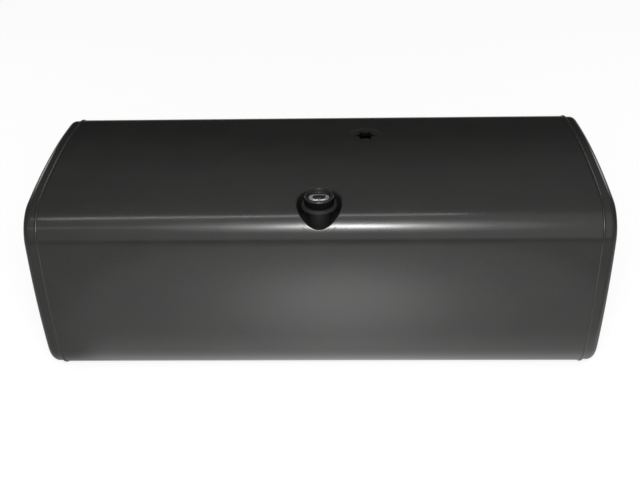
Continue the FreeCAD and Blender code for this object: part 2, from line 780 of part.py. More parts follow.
def make_cap_core():
    disc = "cap_radius - cap_wall - cap_clearance"
    shape = turned(
        "cap_core_form",
        [
            (0, PLATE_TOP),
            ("stem_radius", PLATE_TOP),
            ("stem_radius", "seal_thickness"),
            (disc, "seal_thickness"),
            (disc, CORE_TOP),
            ("core_ring_outer", CORE_TOP),
            ("core_ring_outer", COVER_UNDER),
            ("core_ring_inner", COVER_UNDER),
            ("core_ring_inner", CORE_TOP),
            (0, CORE_TOP),
        ],
    )
    tail_way = cylinder(
        "core_tail_way",
        "barrel_tail_radius + running_gap",
        "barrel_tail_depth + cap_clearance + overcut",
        z=f"{CORE_TOP} - barrel_tail_depth - cap_clearance",
    )
    bolt_way = box(
        "core_bolt_way",
        "core_ring_outer",
        "bolt_width + 2 * running_gap",
        "dish_depth",
        x="core_ring_inner - overcut",
        y="-bolt_width / 2 - running_gap",
        z=CORE_TOP,
    )
    screw_depth = "screw_length - plate_sheet + cap_clearance"
    screw_way = cylinder("core_screw_way", "screw_radius", screw_depth, z=PLATE_TOP)
    vent_way = cylinder("core_vent_way", "vent_radius + running_gap", "cap_top")
    on_vent(vent_way, f"{PLATE_TOP} - overcut")
    keep("cap_core", on_filler(cut("cap_core", shape, tail_way, bolt_way, screw_way, vent_way)))


def on_vent(item, bottom):
    """Moves an upright form to the vent's place in the core."""
    return bind(
        item,
        Placement__Base__x="vent_place * cos(vent_bearing)",
        Placement__Base__y="vent_place * sin(vent_bearing)",
        Placement__Base__z=bottom,
    )


def make_cap_seal():
    ring = turned(
        "cap_seal",
        [
            ("seal_inner", 0),
            ("seal_outer", 0),
            ("seal_outer", "seal_thickness"),
            ("seal_inner", "seal_thickness"),
        ],
    )
    keep("cap_seal", on_filler(ring))


def make_bayonet_plate():
    bottom = f"{PLATE_TOP} - plate_sheet"
    hub = cylinder("plate_hub", "stem_radius", "plate_sheet", z=bottom)
    lugs = sectors("plate_lug", "lug_radius", "lug_angle", bottom, "plate_sheet")
    solid = fuse("plate_solid", hub, *lugs)
    countersink = doc.addObject("Part::Cone", "plate_countersink")
    bind(
        countersink,
        Radius1="screw_head_radius + thread_clearance",
        Radius2="screw_radius + thread_clearance",
        Height="plate_sheet",
    )
    place(countersink, z=bottom)
    vent_way = cylinder("plate_vent_way", "vent_radius + running_gap", "2 * overcut")
    on_vent(vent_way, f"{bottom} - overcut")
    keep("bayonet_plate", on_filler(cut("bayonet_plate", solid, countersink, vent_way)))


def make_plate_screw():
    bottom = f"{PLATE_TOP} - plate_sheet"
    shank = "screw_radius - thread_clearance"
    screw = turned(
        "plate_screw",
        [
            (0, bottom),
            ("screw_head_radius - thread_clearance", bottom),
            (shank, PLATE_TOP),
            (shank, f"{bottom} + screw_length"),
            (0, f"{bottom} + screw_length"),
        ],
    )
    keep("plate_screw", on_filler(screw))


def make_vent_insert():
    shank = cylinder("vent_shank", "vent_radius", f"{CORE_TOP} - ({PLATE_TOP}) + plate_sheet")
    head = cylinder("vent_head", "vent_head_radius", "vent_head_height")
    on_vent(shank, f"{PLATE_TOP} - plate_sheet")
    on_vent(head, CORE_TOP)
    bore = on_vent(cylinder("vent_bore", "vent_radius / 2", "cap_top"), f"{PLATE_TOP} - overcut")
    keep("vent_insert", on_filler(cut("vent_insert", fuse("vent_solid", shank, head), bore)))


# Lock: the barrel turns a cam that lets a bolt slide out of the cover, which then turns freely.

CAM_BOTTOM = f"{CORE_TOP} + cap_clearance"
CAM_HIGH = "cam_low + bolt_throw"


def make_lock_barrel():
    shoulder = f"{CAM_BOTTOM} + cam_thickness"
    form = turned(
        "barrel_form",
        [
            (0, f"{CORE_TOP} - barrel_tail_depth"),
            ("barrel_tail_radius", f"{CORE_TOP} - barrel_tail_depth"),
            ("barrel_tail_radius", shoulder),
            ("barrel_radius", shoulder),
            ("barrel_radius", f"{GRIP_TOP} - barrel_head_height"),
            ("barrel_head_radius", f"{GRIP_TOP} - barrel_head_height"),
            ("barrel_head_radius", GRIP_TOP),
            (0, GRIP_TOP),
        ],
    )
    slot = box(
        "key_slot",
        "key_slot_length",
        "key_slot_width",
        "key_slot_depth + overcut",
        x="-key_slot_length / 2",
        y="-key_slot_width / 2",
        z=f"{GRIP_TOP} - key_slot_depth",
    )
    keep("lock_barrel", on_filler(cut("lock_barrel", form, slot)))


def make_lock_cam():
    """A disc with a nose whose reach falls evenly over a quarter turn, so the bolt follows the key evenly."""
    disc = cylinder("cam_disc", "cam_low", "cam_thickness", z=CAM_BOTTOM)
    nose = new_body("cam_nose")
    sketch = new_sketch(nose, "cam_nose_outline", "XY_Plane", CAM_BOTTOM)
    outline = [(0, 0)]
    for step in range(CAM_STEPS + 1):
        angle = 90 * step / CAM_STEPS - 90
        reach = f"(cam_low + bolt_throw * {step} / {CAM_STEPS})"
        across = f"{reach} * cos({angle})" if step > 0 else 0
        along = f"{reach} * sin({angle})" if step < CAM_STEPS else 0
        outline.append((across, along))
    draw_outline(sketch, outline)
    pad(nose, sketch, "cam_nose_pad", "cam_thickness")
    bore = cylinder("cam_bore", "barrel_tail_radius + running_gap", "cap_top", z="-overcut")
    keep("lock_cam", on_filler(cut("lock_cam", fuse("cam_solid", disc, nose), bore)))


def make_lock_bolt():
    start = f"({CAM_HIGH} + cam_gap)"
    bolt = box(
        "lock_bolt",
        f"bolt_reach - {start}",
        "bolt_width",
        "bolt_height",
        x=f"pocket_x + {start}",
        y=f"{FILLER_Y} - bolt_width / 2",
        z=f"{SEAT} + {CORE_TOP}",
    )
    keep("lock_bolt", bolt)


def make_key_shutter():
    """An oblong cover over the key slot, which swings aside on a pin near one end."""
    body = new_body("key_shutter")
    sketch = new_sketch(body, "shutter_outline", "XY_Plane", GRIP_TOP)
    draw_slot(sketch, "shutter_length", "shutter_width")
    pad(body, sketch, "shutter_pad", "shutter_thickness")
    pin_sketch = new_sketch(body, "shutter_pin_circle", "XY_Plane", f"{GRIP_TOP} - shutter_pin_length")
    draw_circle(pin_sketch, SHUTTER_PIN, 0, "shutter_pin_radius")
    pad(body, pin_sketch, "shutter_pin_pad", "shutter_pin_length + shutter_thickness / 2")
    keep("key_shutter", on_filler(body))


# Sender opening: a ring welded under the pressed flat, with tapped holes for the sender's flange.


def make_sender_ring():
    level = "-sender_seat_depth - wall - sender_ring_height"
    ring = on_sender(cylinder("sender_ring_blank", "sender_ring_radius", "sender_ring_height"), level)
    bore = cylinder("sender_ring_bore", "sender_bore", "sender_ring_height + 2 * overcut")
    holes = screw_holes("ring_screw_ways", "sender_thread_hole", "sender_ring_height + 2 * overcut")
    for way in (bore, holes):
        on_sender(way, f"{level} - overcut")
    keep("sender_ring", cut("sender_ring", ring, bore, holes))


# Drain: a boss set flush in the bottom, with a sealing washer and a plug that stays inside its recess.


def make_drain():
    recess = "drain_recess_depth"
    boss = turned(
        "drain_boss",
        [
            ("drain_recess_radius", 0),
            ("drain_boss_radius", 0),
            ("drain_boss_radius", "drain_boss_height"),
            ("drain_thread_radius", "drain_boss_height"),
            ("drain_thread_radius", recess),
            ("drain_recess_radius", recess),
        ],
    )
    washer_bottom = f"{recess} - drain_washer_thickness"
    washer = turned(
        "drain_washer",
        [
            ("drain_thread_radius", washer_bottom),
            ("drain_washer_radius", washer_bottom),
            ("drain_washer_radius", recess),
            ("drain_thread_radius", recess),
        ],
    )
    flange_bottom = f"({washer_bottom} - drain_flange_height)"
    shank = "drain_thread_radius - thread_clearance"
    form = turned(
        "drain_plug_form",
        [
            (0, flange_bottom),
            ("drain_flange_radius", flange_bottom),
            ("drain_flange_radius", washer_bottom),
            (shank, washer_bottom),
            (shank, f"{washer_bottom} + drain_shank"),
            (0, f"{washer_bottom} + drain_shank"),
        ],
    )
    socket = doc.addObject("Part::Prism", "drain_key_socket")
    socket.Polygon = 6
    bind(socket, Circumradius="drain_key / 2 / cos(30)", Height="drain_key_depth + overcut")
    place(socket, z=f"{flange_bottom} - overcut")
    plug = cut("drain_plug", form, socket)
    for name, item in (("drain_boss", boss), ("drain_washer", washer), ("drain_plug", plug)):
        keep(name, place(item, x="drain_x", z="bead_height"))


make_shell()
make_head("right_head", "0")
make_head("left_head", "180")
make_seam_weld("right_seam_weld", "0")
make_seam_weld("left_seam_weld", "180")
make_long_seam_weld()
make_baffle("right_baffle", "0")
make_baffle("left_baffle", "180")
make_filler_pocket()
make_filler_neck()
make_neck_flange()
make_cap_cover()
make_cap_core()
make_cap_seal()
make_bayonet_plate()
make_plate_screw()
make_vent_insert()
make_lock_barrel()
make_lock_cam()
make_lock_bolt()
make_key_shutter()
make_sender_ring()
make_drain()
doc.removeObject("Gauge")
doc.recompute()

for item in doc.Objects:
    faults = {"Invalid", "Error"}.intersection(item.State)
    if faults:
        raise RuntimeError(f"{item.Name} is {faults}")
for name, item in PARTS.items():
    if item.Shape.isNull() or not item.Shape.isValid() or not item.Shape.Solids:
        raise RuntimeError(f"{name} has no sound solid")

os.makedirs("parts", exist_ok=True)
for name, item in PARTS.items():
    item.Shape.exportStep(f"parts/{name}.step")
    print(f"{name}: {len(item.Shape.Solids)} solid, {item.Shape.Volume:.0f} mm3")
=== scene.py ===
import math

import bmesh
import bpy
import numpy as np
from mathutils import Matrix, Vector


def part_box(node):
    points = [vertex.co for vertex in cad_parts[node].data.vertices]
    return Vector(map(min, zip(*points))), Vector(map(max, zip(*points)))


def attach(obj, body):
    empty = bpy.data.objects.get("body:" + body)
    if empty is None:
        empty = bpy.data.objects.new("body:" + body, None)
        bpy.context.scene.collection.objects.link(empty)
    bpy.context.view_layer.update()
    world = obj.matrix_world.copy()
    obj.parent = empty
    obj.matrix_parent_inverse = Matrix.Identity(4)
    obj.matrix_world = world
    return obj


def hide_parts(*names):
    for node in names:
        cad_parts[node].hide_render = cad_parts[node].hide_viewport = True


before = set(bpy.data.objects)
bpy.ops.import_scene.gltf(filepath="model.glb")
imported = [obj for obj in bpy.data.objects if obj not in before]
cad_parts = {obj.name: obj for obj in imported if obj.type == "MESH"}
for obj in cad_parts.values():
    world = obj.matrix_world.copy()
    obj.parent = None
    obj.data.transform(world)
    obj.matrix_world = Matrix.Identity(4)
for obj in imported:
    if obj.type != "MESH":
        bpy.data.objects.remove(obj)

# Truck fuel tank, dressed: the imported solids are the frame, and the sheet metal, welds and filler cap that show are
# made again here as finer surfaces. Lengths are in metres. X runs along the tank, Y towards its back and Z up.

bl_info = {
    "name": "Truck fuel tank",
    "version": (1, 0, 0),
    "blender": (4, 5, 0),
    "location": "3D View > Sidebar > Fuel tank",
    "description": "Surfaces, finishes and studio for a truck fuel tank of gloss black steel",
    "category": "Object",
}

MM = 0.001
SHELL_LOW, SHELL_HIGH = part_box("shell")
WELD_LOW, WELD_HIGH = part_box("right_seam_weld")
HEAD_LOW, HEAD_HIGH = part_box("right_head")
LONG_WELD_LOW, LONG_WELD_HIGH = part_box("long_seam_weld")
COVER_LOW, COVER_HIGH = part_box("cap_cover")
SHUTTER_LOW, SHUTTER_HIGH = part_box("key_shutter")
RING_LOW, RING_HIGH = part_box("sender_ring")
FILLER_X = (COVER_LOW.x + COVER_HIGH.x) / 2
FILLER_Y = (COVER_LOW.y + COVER_HIGH.y) / 2
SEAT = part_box("neck_flange")[1].z


def linear(code):
    """A colour written as sRGB hex, turned to the linear values that shaders take."""
    parts = [int(code[place : place + 2], 16) / 255 for place in (1, 3, 5)]
    return tuple(part / 12.92 if part <= 0.04045 else ((part + 0.055) / 1.055) ** 2.4 for part in parts)


def length(name, description, default):
    return bpy.props.FloatProperty(
        name=name, description=description, default=default, min=0.0, precision=5, subtype="DISTANCE", unit="LENGTH"
    )


def colour(name, description, code):
    return bpy.props.FloatVectorProperty(
        name=name, description=description, default=linear(code), size=3, min=0.0, max=1.0, subtype="COLOR"
    )


class FuelTankSizes(bpy.types.PropertyGroup):
    """Sizes of the sheet metal, the openings and the cap."""

    corner_radius: length("Corner radius", "Outside radius of the four long corners", 0.107)
    crown_radius: length("Crown radius", "Slow outward bow of the top, front and back", 1.974)
    sheet: length("Sheet", "Thickness of the shell, heads and pocket", 0.002)
    head_step: length("Head step", "How far a head's skirt lies below the shell's outside", 0.0022)
    head_edge: length("Head edge", "Radius between a head's end wall and its skirt", 0.020)
    bead_height: length("Bead height", "Weld bead above the shell", 0.0025)
    bead_width: length("Bead width", "Weld bead along the tank", 0.007)
    pocket_radius: length("Pocket radius", "Inside radius of the filler pocket", 0.0602)
    pocket_floor: length("Pocket floor", "Height of the pocket's floor above the ground", 0.49299)
    pocket_margin: length("Pocket margin", "Sheet of the pocket outside its rim", 0.0114)
    lip_front: length("Lip at the front", "Rounding of the pocket's rim at the front", 0.0016)
    lip_back: length("Lip at the back", "Rounding of the pocket's rim at the back", 0.0095)
    sender_x: length("Sender along", "Middle of the tank to the sender opening", (RING_LOW.x + RING_HIGH.x) / 2)
    sender_y: length("Sender back", "Middle plane to the sender opening", 0.110)
    sender_seat: length("Sender flat", "Radius of the flat pressed in for the sender", 0.049)
    sender_depth: length("Sender flat depth", "That flat below the crown", 0.0012)
    sender_bore: length("Sender bore", "Radius of the sender opening between its lobes", 0.0222)
    sender_circle: length("Sender circle", "Radius of the circle that the lobes stand on", 0.0242)
    sender_slot: length("Sender lobe", "Width of a lobe", 0.012)
    cap_rim: length("Cap rim", "Rounding of the cap's rim", 0.005)
    grip_length: length("Grip length", "Oblong grip in the cap's dish", 0.056)
    grip_width: length("Grip width", "Oblong grip in the cap's dish", 0.030)


class FuelTankColours(bpy.types.PropertyGroup):
    """Colours of the finishes, the floor and the background."""

    enamel: colour("Enamel", "Gloss black coat of the tank", "#1e201e")
    enamel_light: colour("Enamel, light places", "Where the coat is thin or dusty", "#242622")
    overspray: colour("Pocket", "Thin, dull coat inside the pocket", "#1f211f")
    # Near black; on the sender ring it is painted shade for the dark inside of the tank.
    flat_black: colour("Flat black", "Cap skirt and sender ring", "#080808")
    steel: colour("Bare steel", "Rolled steel inside the tank", "#8d8c88")
    lacquer: colour("Cap lacquer", "Dark lacquer on the cap's casting", "#232424")
    zinc: colour("Zinc", "Casting where the lacquer is worn off, and plated steel", "#c9cbca")
    nylon: colour("Nylon", "Key shutter, core and vent", "#0c0d0d")
    rubber: colour("Rubber", "Seal under the cap", "#171717")
    copper: colour("Copper", "Washer of the drain plug", "#b8744f")
    floor: colour("Floor", "Studio floor", "#f4f4f3")


# Section of the tank, as CAD draws it: from the middle of the top a slow bow, a corner, the bowed side, a corner and
# the flat foot. A place on it is the run along it from the middle of the top, positive towards the front.


class Section:
    """Knots of run and angle, and the centre and radius of each arc, for one half of the section."""

    def __init__(self, sizes):
        half = SHELL_HIGH.y
        self.foot = SHELL_LOW.z
        tall = SHELL_HIGH.z - SHELL_LOW.z
        corner, crown = sizes.corner_radius, sizes.crown_radius
        side_y, top_z = half - crown, tall - crown
        low_y = side_y + math.sqrt((crown - corner) ** 2 - (tall / 2 - corner) ** 2)
        apart = math.hypot(side_y, tall / 2 - top_z)
        shift = math.sqrt((crown - corner) ** 2 / apart**2 - 0.25)
        high_y = side_y / 2 + (tall / 2 - top_z) * shift
        high_z = (tall / 2 + top_z) / 2 - side_y * shift
        top_angle = math.atan2(high_z - top_z, high_y)
        high_angle = math.atan2(high_z - tall / 2, high_y - side_y)
        low_angle = math.atan2(corner - tall / 2, low_y - side_y)
        quarter = math.pi / 2
        self.angles = np.array([quarter, top_angle, high_angle, low_angle, -quarter, -quarter])
        self.radii = np.array([crown, corner, crown, corner, 0.0])
        self.centre_y = np.array([0.0, high_y, side_y, low_y, 0.0])
        self.centre_z = np.array([top_z, high_z, tall / 2, corner, 0.0])
        steps = -np.diff(self.angles) * self.radii
        steps[-1] = low_y
        self.knots = np.concatenate([[0.0], np.cumsum(steps)])
        self.half_run = self.knots[-1]

    def at(self, run, inset=0.0):
        """Y, Z and the outward normal at a run; an inset moves the place inwards along that normal."""
        away = np.abs(run)
        side = np.where(run > 0, -1.0, 1.0)
        angle = np.interp(away, self.knots, self.angles)
        arc = np.clip(np.searchsorted(self.knots, away, side="right") - 1, 0, 4)
        on_foot = arc == 4
        across = np.where(on_foot, self.half_run - away, self.centre_y[arc])
        normal_y = np.where(on_foot, 0.0, np.cos(angle))
        normal_z = np.sin(angle)
        reach = self.radii[arc] - inset
        y = side * (across + np.where(on_foot, 0.0, reach * normal_y))
        z = self.foot + np.where(on_foot, inset, self.centre_z[arc] + reach * normal_z)
        return y, z, side * normal_y, normal_z

    def run_at(self, y):
        """The run of a place on the top or an upper corner, from its Y."""
        away = np.abs(y)
        crown, corner = self.radii[0], self.radii[1]
        on_top = crown * np.arcsin(np.clip(away / crown, 0, 1))
        angle = np.arccos(np.clip((away - self.centre_y[1]) / corner, 0, 1))
        on_corner = self.knots[1] + corner * (self.angles[1] - angle)
        run = np.where(on_top <= self.knots[1], on_top, on_corner)
        return np.where(y < 0, run, -run)


def lines(places, steps):
    """Grid lines through places; each stretch between two of them is divided evenly, by about its step."""
    parts = []
    for start, end, step in zip(places[:-1], places[1:], steps):
        count = max(1, round(abs(end - start) / step))
        parts.append(np.linspace(start, end, count + 1)[:-1])
    return np.append(np.concatenate(parts), places[-1])


def quads(rows, columns, closed_rows=False, closed_columns=False):
    """Faces of a grid whose points are numbered row by row."""
    row = np.arange(rows if closed_rows else rows - 1)
    column = np.arange(columns if closed_columns else columns - 1)
    row, column = np.meshgrid(row, column, indexing="ij")
    next_row, next_column = (row + 1) % rows, (column + 1) % columns
    corners = (row * columns + column, next_row * columns + column)
    corners += (next_row * columns + next_column, row * columns + next_column)
    return np.stack([corner.ravel() for corner in corners], axis=1)


def corner_places(row_at, column_at):
    """Where the corners of a grid's faces lie, from the places of its rows and of its columns."""
    row, column = np.meshgrid(np.arange(len(row_at) - 1), np.arange(len(column_at) - 1), indexing="ij")
    row, column = row.ravel(), column.ravel()
    corners = [(row_at[row + down], column_at[column + on]) for down, on in ((0, 0), (1, 0), (1, 1), (0, 1))]
    return np.moveaxis(np.array(corners), -1, 0)


def rounded(corners, radii, steps=6):
    """A profile through corners, each turned by an arc of its own radius that touches both of its sides."""
    corners = np.asarray(corners, float)
    out = [corners[0]]
    for before, corner, after, radius in zip(corners[:-2], corners[1:-1], corners[2:], radii):
        a = (before - corner) / np.linalg.norm(before - corner)
        b = (after - corner) / np.linalg.norm(after - corner)
        if radius == 0:
            out.append(corner)
            continue
        half = math.acos(np.clip(a @ b, -1, 1)) / 2
        middle = (a + b) / np.linalg.norm(a + b)
        centre = corner + middle * radius / math.sin(half)
        start = corner + a * radius / math.tan(half) - centre
        end = corner + b * radius / math.tan(half) - centre
        share = np.linspace(0, 1, steps + 1)[:, None]
        sweep = math.acos(np.clip(start @ end / radius**2, -1, 1))
        arc = (np.sin((1 - share) * sweep) * start + np.sin(share * sweep) * end) / math.sin(sweep)
        out.extend(centre + arc)
    out.append(corners[-1])
    return np.array(out)


def oblong(angle, half_run, radius):
    """How far an oblong with round ends, long along X, reaches from its centre in each direction."""
    across, along = np.abs(np.sin(angle)), np.abs(np.cos(angle))
    on_side = radius / np.maximum(across, 1e-9)
    on_end = half_run * along + np.sqrt(np.maximum(radius**2 - (half_run * across) ** 2, 0))
    return np.where(on_side * along <= half_run, on_side, on_end)


def add_piece(
    name, points, faces, node, finishes, finish_of=None, along=None, wall=0.0, crease=40, body="tank"
):
    """Makes a piece from points and faces, closes its seams and poles, and lets it stand for a CAD node. Faces point
    outwards, and the edge of a sheet is sharp. A wall gives the sheet its thickness inwards, with the last finish on
    its inner side. along is the places of the faces' corners along a bead.
    """
    mesh = bpy.data.meshes.new(name)
    mesh.from_pydata(np.asarray(points).tolist(), [], [list(face) for face in faces])
    for finish in finishes:
        mesh.materials.append(finish)
    if finish_of is not None:
        mesh.polygons.foreach_set("material_index", np.asarray(finish_of, np.int32))
    if along is not None:
        layer = mesh.uv_layers.new(name="along")
        layer.data.foreach_set("uv", np.asarray(along, np.float32).ravel())
    shape = bmesh.new()
    shape.from_mesh(mesh)
    bmesh.ops.remove_doubles(shape, verts=shape.verts, dist=1e-6)
    shape.to_mesh(mesh)
    shape.free()
    mesh.polygons.foreach_set("use_smooth", np.ones(len(mesh.polygons), bool))
    mesh.set_sharp_from_angle(angle=math.radians(crease))
    sharp = np.zeros(len(mesh.edges), bool)
    mesh.attributes["sharp_edge"].data.foreach_get("value", sharp)
    uses = np.zeros(len(mesh.loops), np.int32)
    mesh.loops.foreach_get("edge_index", uses)
    sharp |= np.bincount(uses, minlength=len(mesh.edges)) == 1
    mesh.attributes["sharp_edge"].data.foreach_set("value", sharp)
    piece = bpy.data.objects.new(name, mesh)
    bpy.context.scene.collection.objects.link(piece)
    if wall:
        thickness = piece.modifiers.new("sheet", "SOLIDIFY")
        thickness.thickness = wall
        thickness.offset = -1
        thickness.material_offset = len(finishes) - 1
    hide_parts(node)
    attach(piece, body)


# Finishes

# Nearly all of a noise lies between these two values.
NOISE_SPAN = (0.3, 0.7)

# Inputs that are often set together.
NOISE = ("Scale", "Detail", "Roughness", "Distortion")
RANGE = ("From Min", "From Max", "To Min", "To Max")
BUMP = ("Strength", "Distance")


def add_node(tree, kind, settings=(), values=(), links=(), stops=()):
    """Adds a node to a tree with its settings, its fixed inputs, its links and the stops of its ramp. A link that
    names a node comes from its first output.
    """
    node = tree.nodes.new(kind)
    for name, value in dict(settings).items():
        setattr(node, name, value)
    for socket, value in dict(values).items():
        node.inputs[socket].default_value = value
    for socket, source in dict(links).items():
        source = source.outputs[0] if isinstance(source, bpy.types.Node) else source
        tree.links.new(source, node.inputs[socket])
    for number, (place, value) in enumerate(stops):
        elements = node.color_ramp.elements
        element = elements[number] if number < len(elements) else elements.new(place)
        element.position = place
        element.color = (*value, 1)
    return node


def new_finish(name):
    """A material with nothing in it but its output."""
    finish = bpy.data.materials.get(name) or bpy.data.materials.new(name)
    finish.use_nodes = True
    finish.node_tree.nodes.clear()
    return finish, finish.node_tree


def enamel_finish(colours, beaded=False):
    """Gloss black powder coat baked on rolled steel sheet. The coat levels to a slight orange peel about 6 mm across,
    and the sheet under it is out of true by some tenths of a millimetre over a hand's breadth, which makes long
    reflections waver. On a weld bead the coat follows the ripples that each pass of the arc left, 3 mm apart.
    """
    finish, tree = new_finish("Powder-coated steel, weld bead" if beaded else "Powder-coated steel, gloss black")
    at = {"Vector": add_node(tree, "ShaderNodeTexCoord").outputs["Object"]}
    # Clouds in the film, the sheet's waver and the peel, from their sizes in millimetres.
    film, waver, peel = (
        add_node(tree, "ShaderNodeTexNoise", values=zip(NOISE, (1 / (size * MM), *rest)), links=at)
        for size, *rest in ((111, 5.0, 0.6, 0.4), (182, 1.0, 0.4), (5.88, 1.0, 0.5))
    )
    sheet = add_node(tree, "ShaderNodeBump", values=zip(BUMP, (1.0, 0.5 * MM)), links={"Height": waver})
    links = {"Height": peel, "Normal": sheet}
    skin = add_node(tree, "ShaderNodeBump", values=zip(BUMP, (1.0, 0.006 * MM)), links=links)
    if beaded:
        run = add_node(tree, "ShaderNodeUVMap", {"uv_map": "along"})
        pitch = 3 * MM
        ripples = add_node(
            tree,
            "ShaderNodeTexWave",
            {"bands_direction": "X", "wave_profile": "SIN"},
            {"Scale": 2 * math.pi / 20 / pitch, "Distortion": 0.6, "Detail": 1.0, "Detail Scale": 40.0},
            {"Vector": run},
        )
        links = {"Height": ripples.outputs["Fac"], "Normal": skin}
        skin = add_node(tree, "ShaderNodeBump", values=zip(BUMP, (1.0, 0.08 * MM)), links=links)
    stops = ((0.35, colours.enamel), (0.75, colours.enamel_light))
    tint = add_node(tree, "ShaderNodeValToRGB", links={"Fac": film}, stops=stops)
    spans = zip(RANGE, (*NOISE_SPAN, 0.15, 0.19))
    gloss = add_node(tree, "ShaderNodeMapRange", values=spans, links={"Value": film})
    links = {"Base Color": tint, "Roughness": gloss, "Normal": skin}
    shader = add_node(tree, "ShaderNodeBsdfPrincipled", values={"IOR": 1.5}, links=links)
    add_node(tree, "ShaderNodeOutputMaterial", links={"Surface": shader})
    return finish


# Finishes in which one grain does everything: it darkens the colour in places to a share of itself, and may spread the
# roughness over a range and raise a relief of some strength and depth. Each row gives the material's name, the colour,
# the grain's size in millimetres, detail and roughness, the share, the ramp's ends, the range, the relief and the
# fixed inputs.
GRAINED = {
    # Powder coat deep inside a pocket, where the spray hardly reaches: thin, dry and dull, with a grain of 1 mm.
    "overspray": (
        "Powder-coated steel, dull inside the pocket",
        "overspray",
        (1.0, 2.0, 0.5),
        0.8,
        NOISE_SPAN,
        None,
        (0.5, 0.02 * MM),
        {"Roughness": 0.55, "Specular IOR Level": 0.25},
    ),
    # Flat black stoving paint on the cap's skirt, for the grip, and on the sender's ring, where it is painted shade:
    # the ring stands for the dark inside of the tank seen through the opening. It gives back almost no light: soft and
    # velvety, with a grain of half a millimetre.
    "flat_black": (
        "Steel and zinc, flat black paint",
        "flat_black",
        (0.5, 2.0, 0.6),
        0.7,
        NOISE_SPAN,
        None,
        None,
        {"Roughness": 0.8, "Specular IOR Level": 0.06},
    ),
    # Bare low-carbon steel as it leaves the rolls: fine lines along the sheet and a dull grey oxide film.
    "steel": (
        "Low-carbon steel, cold rolled",
        "steel",
        (1.85, 4.0, 0.6),
        0.75,
        NOISE_SPAN,
        (0.36, 0.5),
        (0.4, 0.05 * MM),
        {"Metallic": 1.0},
    ),
    # Dark stoving lacquer on a pressure die casting: half gloss, over the casting's own faint grain of 1.5 mm.
    "lacquer": (
        "Zinc die casting, dark lacquer",
        "lacquer",
        (1.54, 2.0, 0.5),
        0.8,
        (0.35, 0.65),
        (0.22, 0.32),
        (0.5, 0.04 * MM),
        {"IOR": 1.5},
    ),
    # Zinc plating: pale, cool and softly bright, with a fine mottle 2 mm across.
    "zinc": ("Zinc-plated steel", "zinc", (2.08, 3.0, 0.6), 0.8, NOISE_SPAN, (0.24, 0.36), None, {"Metallic": 1.0}),
    # The casting where hands have rubbed it bare: the same under a dull pale oxide. On the grip's top and rounded edge
    # this pale metal is partly wear and partly painted highlight, a bright ring round the grip.
    "worn_zinc_and_painted_highlight": (
        "Zinc die casting, lacquer worn off",
        "zinc",
        (2.08, 3.0, 0.6),
        0.8,
        NOISE_SPAN,
        (0.24, 0.36),
        None,
        {"Metallic": 0.72},
    ),
    # Black nylon: half gloss, with the mould's grain of nearly a millimetre.
    "nylon": (
        "Nylon, moulded black",
        "nylon",
        (0.9, 2.0, 0.5),
        0.75,
        NOISE_SPAN,
        (0.3, 0.4),
        (0.5, 0.02 * MM),
        {"IOR": 1.52},
    ),
    # Nitrile rubber: dull, with a finer grain.
    "rubber": (
        "Nitrile rubber, moulded",
        "rubber",
        (0.6, 2.0, 0.5),
        0.75,
        NOISE_SPAN,
        (0.55, 0.7),
        (0.5, 0.03 * MM),
        {"IOR": 1.52},
    ),
    # Soft copper washer, turned bright and a little dulled: brown spots of oxide 3 mm across.
    "copper": (
        "Soft copper, turned",
        "copper",
        (3.33, 4.0, 0.6),
        0.45,
        (0.35, 0.6),
        None,
        None,
        {"Metallic": 1.0, "Roughness": 0.3},
    ),
}


# How much longer than wide the lines of the rolled steel are.
DRAWN = 22.5


def grained_finish(colours, kind):
    """A finish of the table above. The steel's grain is drawn out along the tank, and the worn zinc, pale partly as a
    painted highlight, has patches of lacquer where a hand misses it.
    """
    name, tint, (size, *rest), dark, (low, high), gloss, relief, values = GRAINED[kind]
    finish, tree = new_finish(name)
    at = {"Vector": add_node(tree, "ShaderNodeTexCoord").outputs["Object"]}
    if kind == "steel":
        at = {"Vector": add_node(tree, "ShaderNodeMapping", values={"Scale": (1 / DRAWN, 1.0, 1.0)}, links=at)}
    grain = add_node(tree, "ShaderNodeTexNoise", values=zip(NOISE, (1 / (size * MM), *rest)), links=at)
    base = getattr(colours, tint)
    stops = ((low, [dark * part for part in base]), (high, base))
    links = {"Base Color": add_node(tree, "ShaderNodeValToRGB", links={"Fac": grain}, stops=stops)}
    if gloss:
        spans = zip(RANGE, (*NOISE_SPAN, *gloss))
        links["Roughness"] = add_node(tree, "ShaderNodeMapRange", values=spans, links={"Value": grain})
    if relief:
        links["Normal"] = add_node(tree, "ShaderNodeBump", values=zip(BUMP, relief), links={"Height": grain})
    shader = add_node(tree, "ShaderNodeBsdfPrincipled", values=values, links=links)
    if kind == "worn_zinc_and_painted_highlight":
        size = 11.1 * MM
        patches = add_node(tree, "ShaderNodeTexNoise", values=zip(NOISE, (1 / size, 3.0, 0.55)), links=at)
        spans = zip(RANGE, (0.6, 0.7, 0.0, 1.0))
        share = add_node(tree, "ShaderNodeMapRange", values=spans, links={"Value": patches})
        values = {"Base Color": (*colours.lacquer, 1), "Roughness": 0.28, "IOR": 1.5}
        kept = add_node(tree, "ShaderNodeBsdfPrincipled", values=values)
        shader = add_node(tree, "ShaderNodeMixShader", links={0: share, 1: shader, 2: kept})
    add_node(tree, "ShaderNodeOutputMaterial", links={"Surface": shader})
    return finish


# Pieces


def sender_outline(sizes, angle):
    """Reach of the sender opening in each direction: a round with three slots across it, one of them along X."""
    turn = np.mod(angle + math.pi / 6, math.pi / 3) - math.pi / 6
    return np.maximum(oblong(turn, sizes.sender_circle, sizes.sender_slot / 2), sizes.sender_bore)


# Steps of a grid round half the section: on the top, a corner, the side, a corner and the foot.
ROUND_STEPS = (0.02, 0.005, 0.02, 0.005, 0.02)


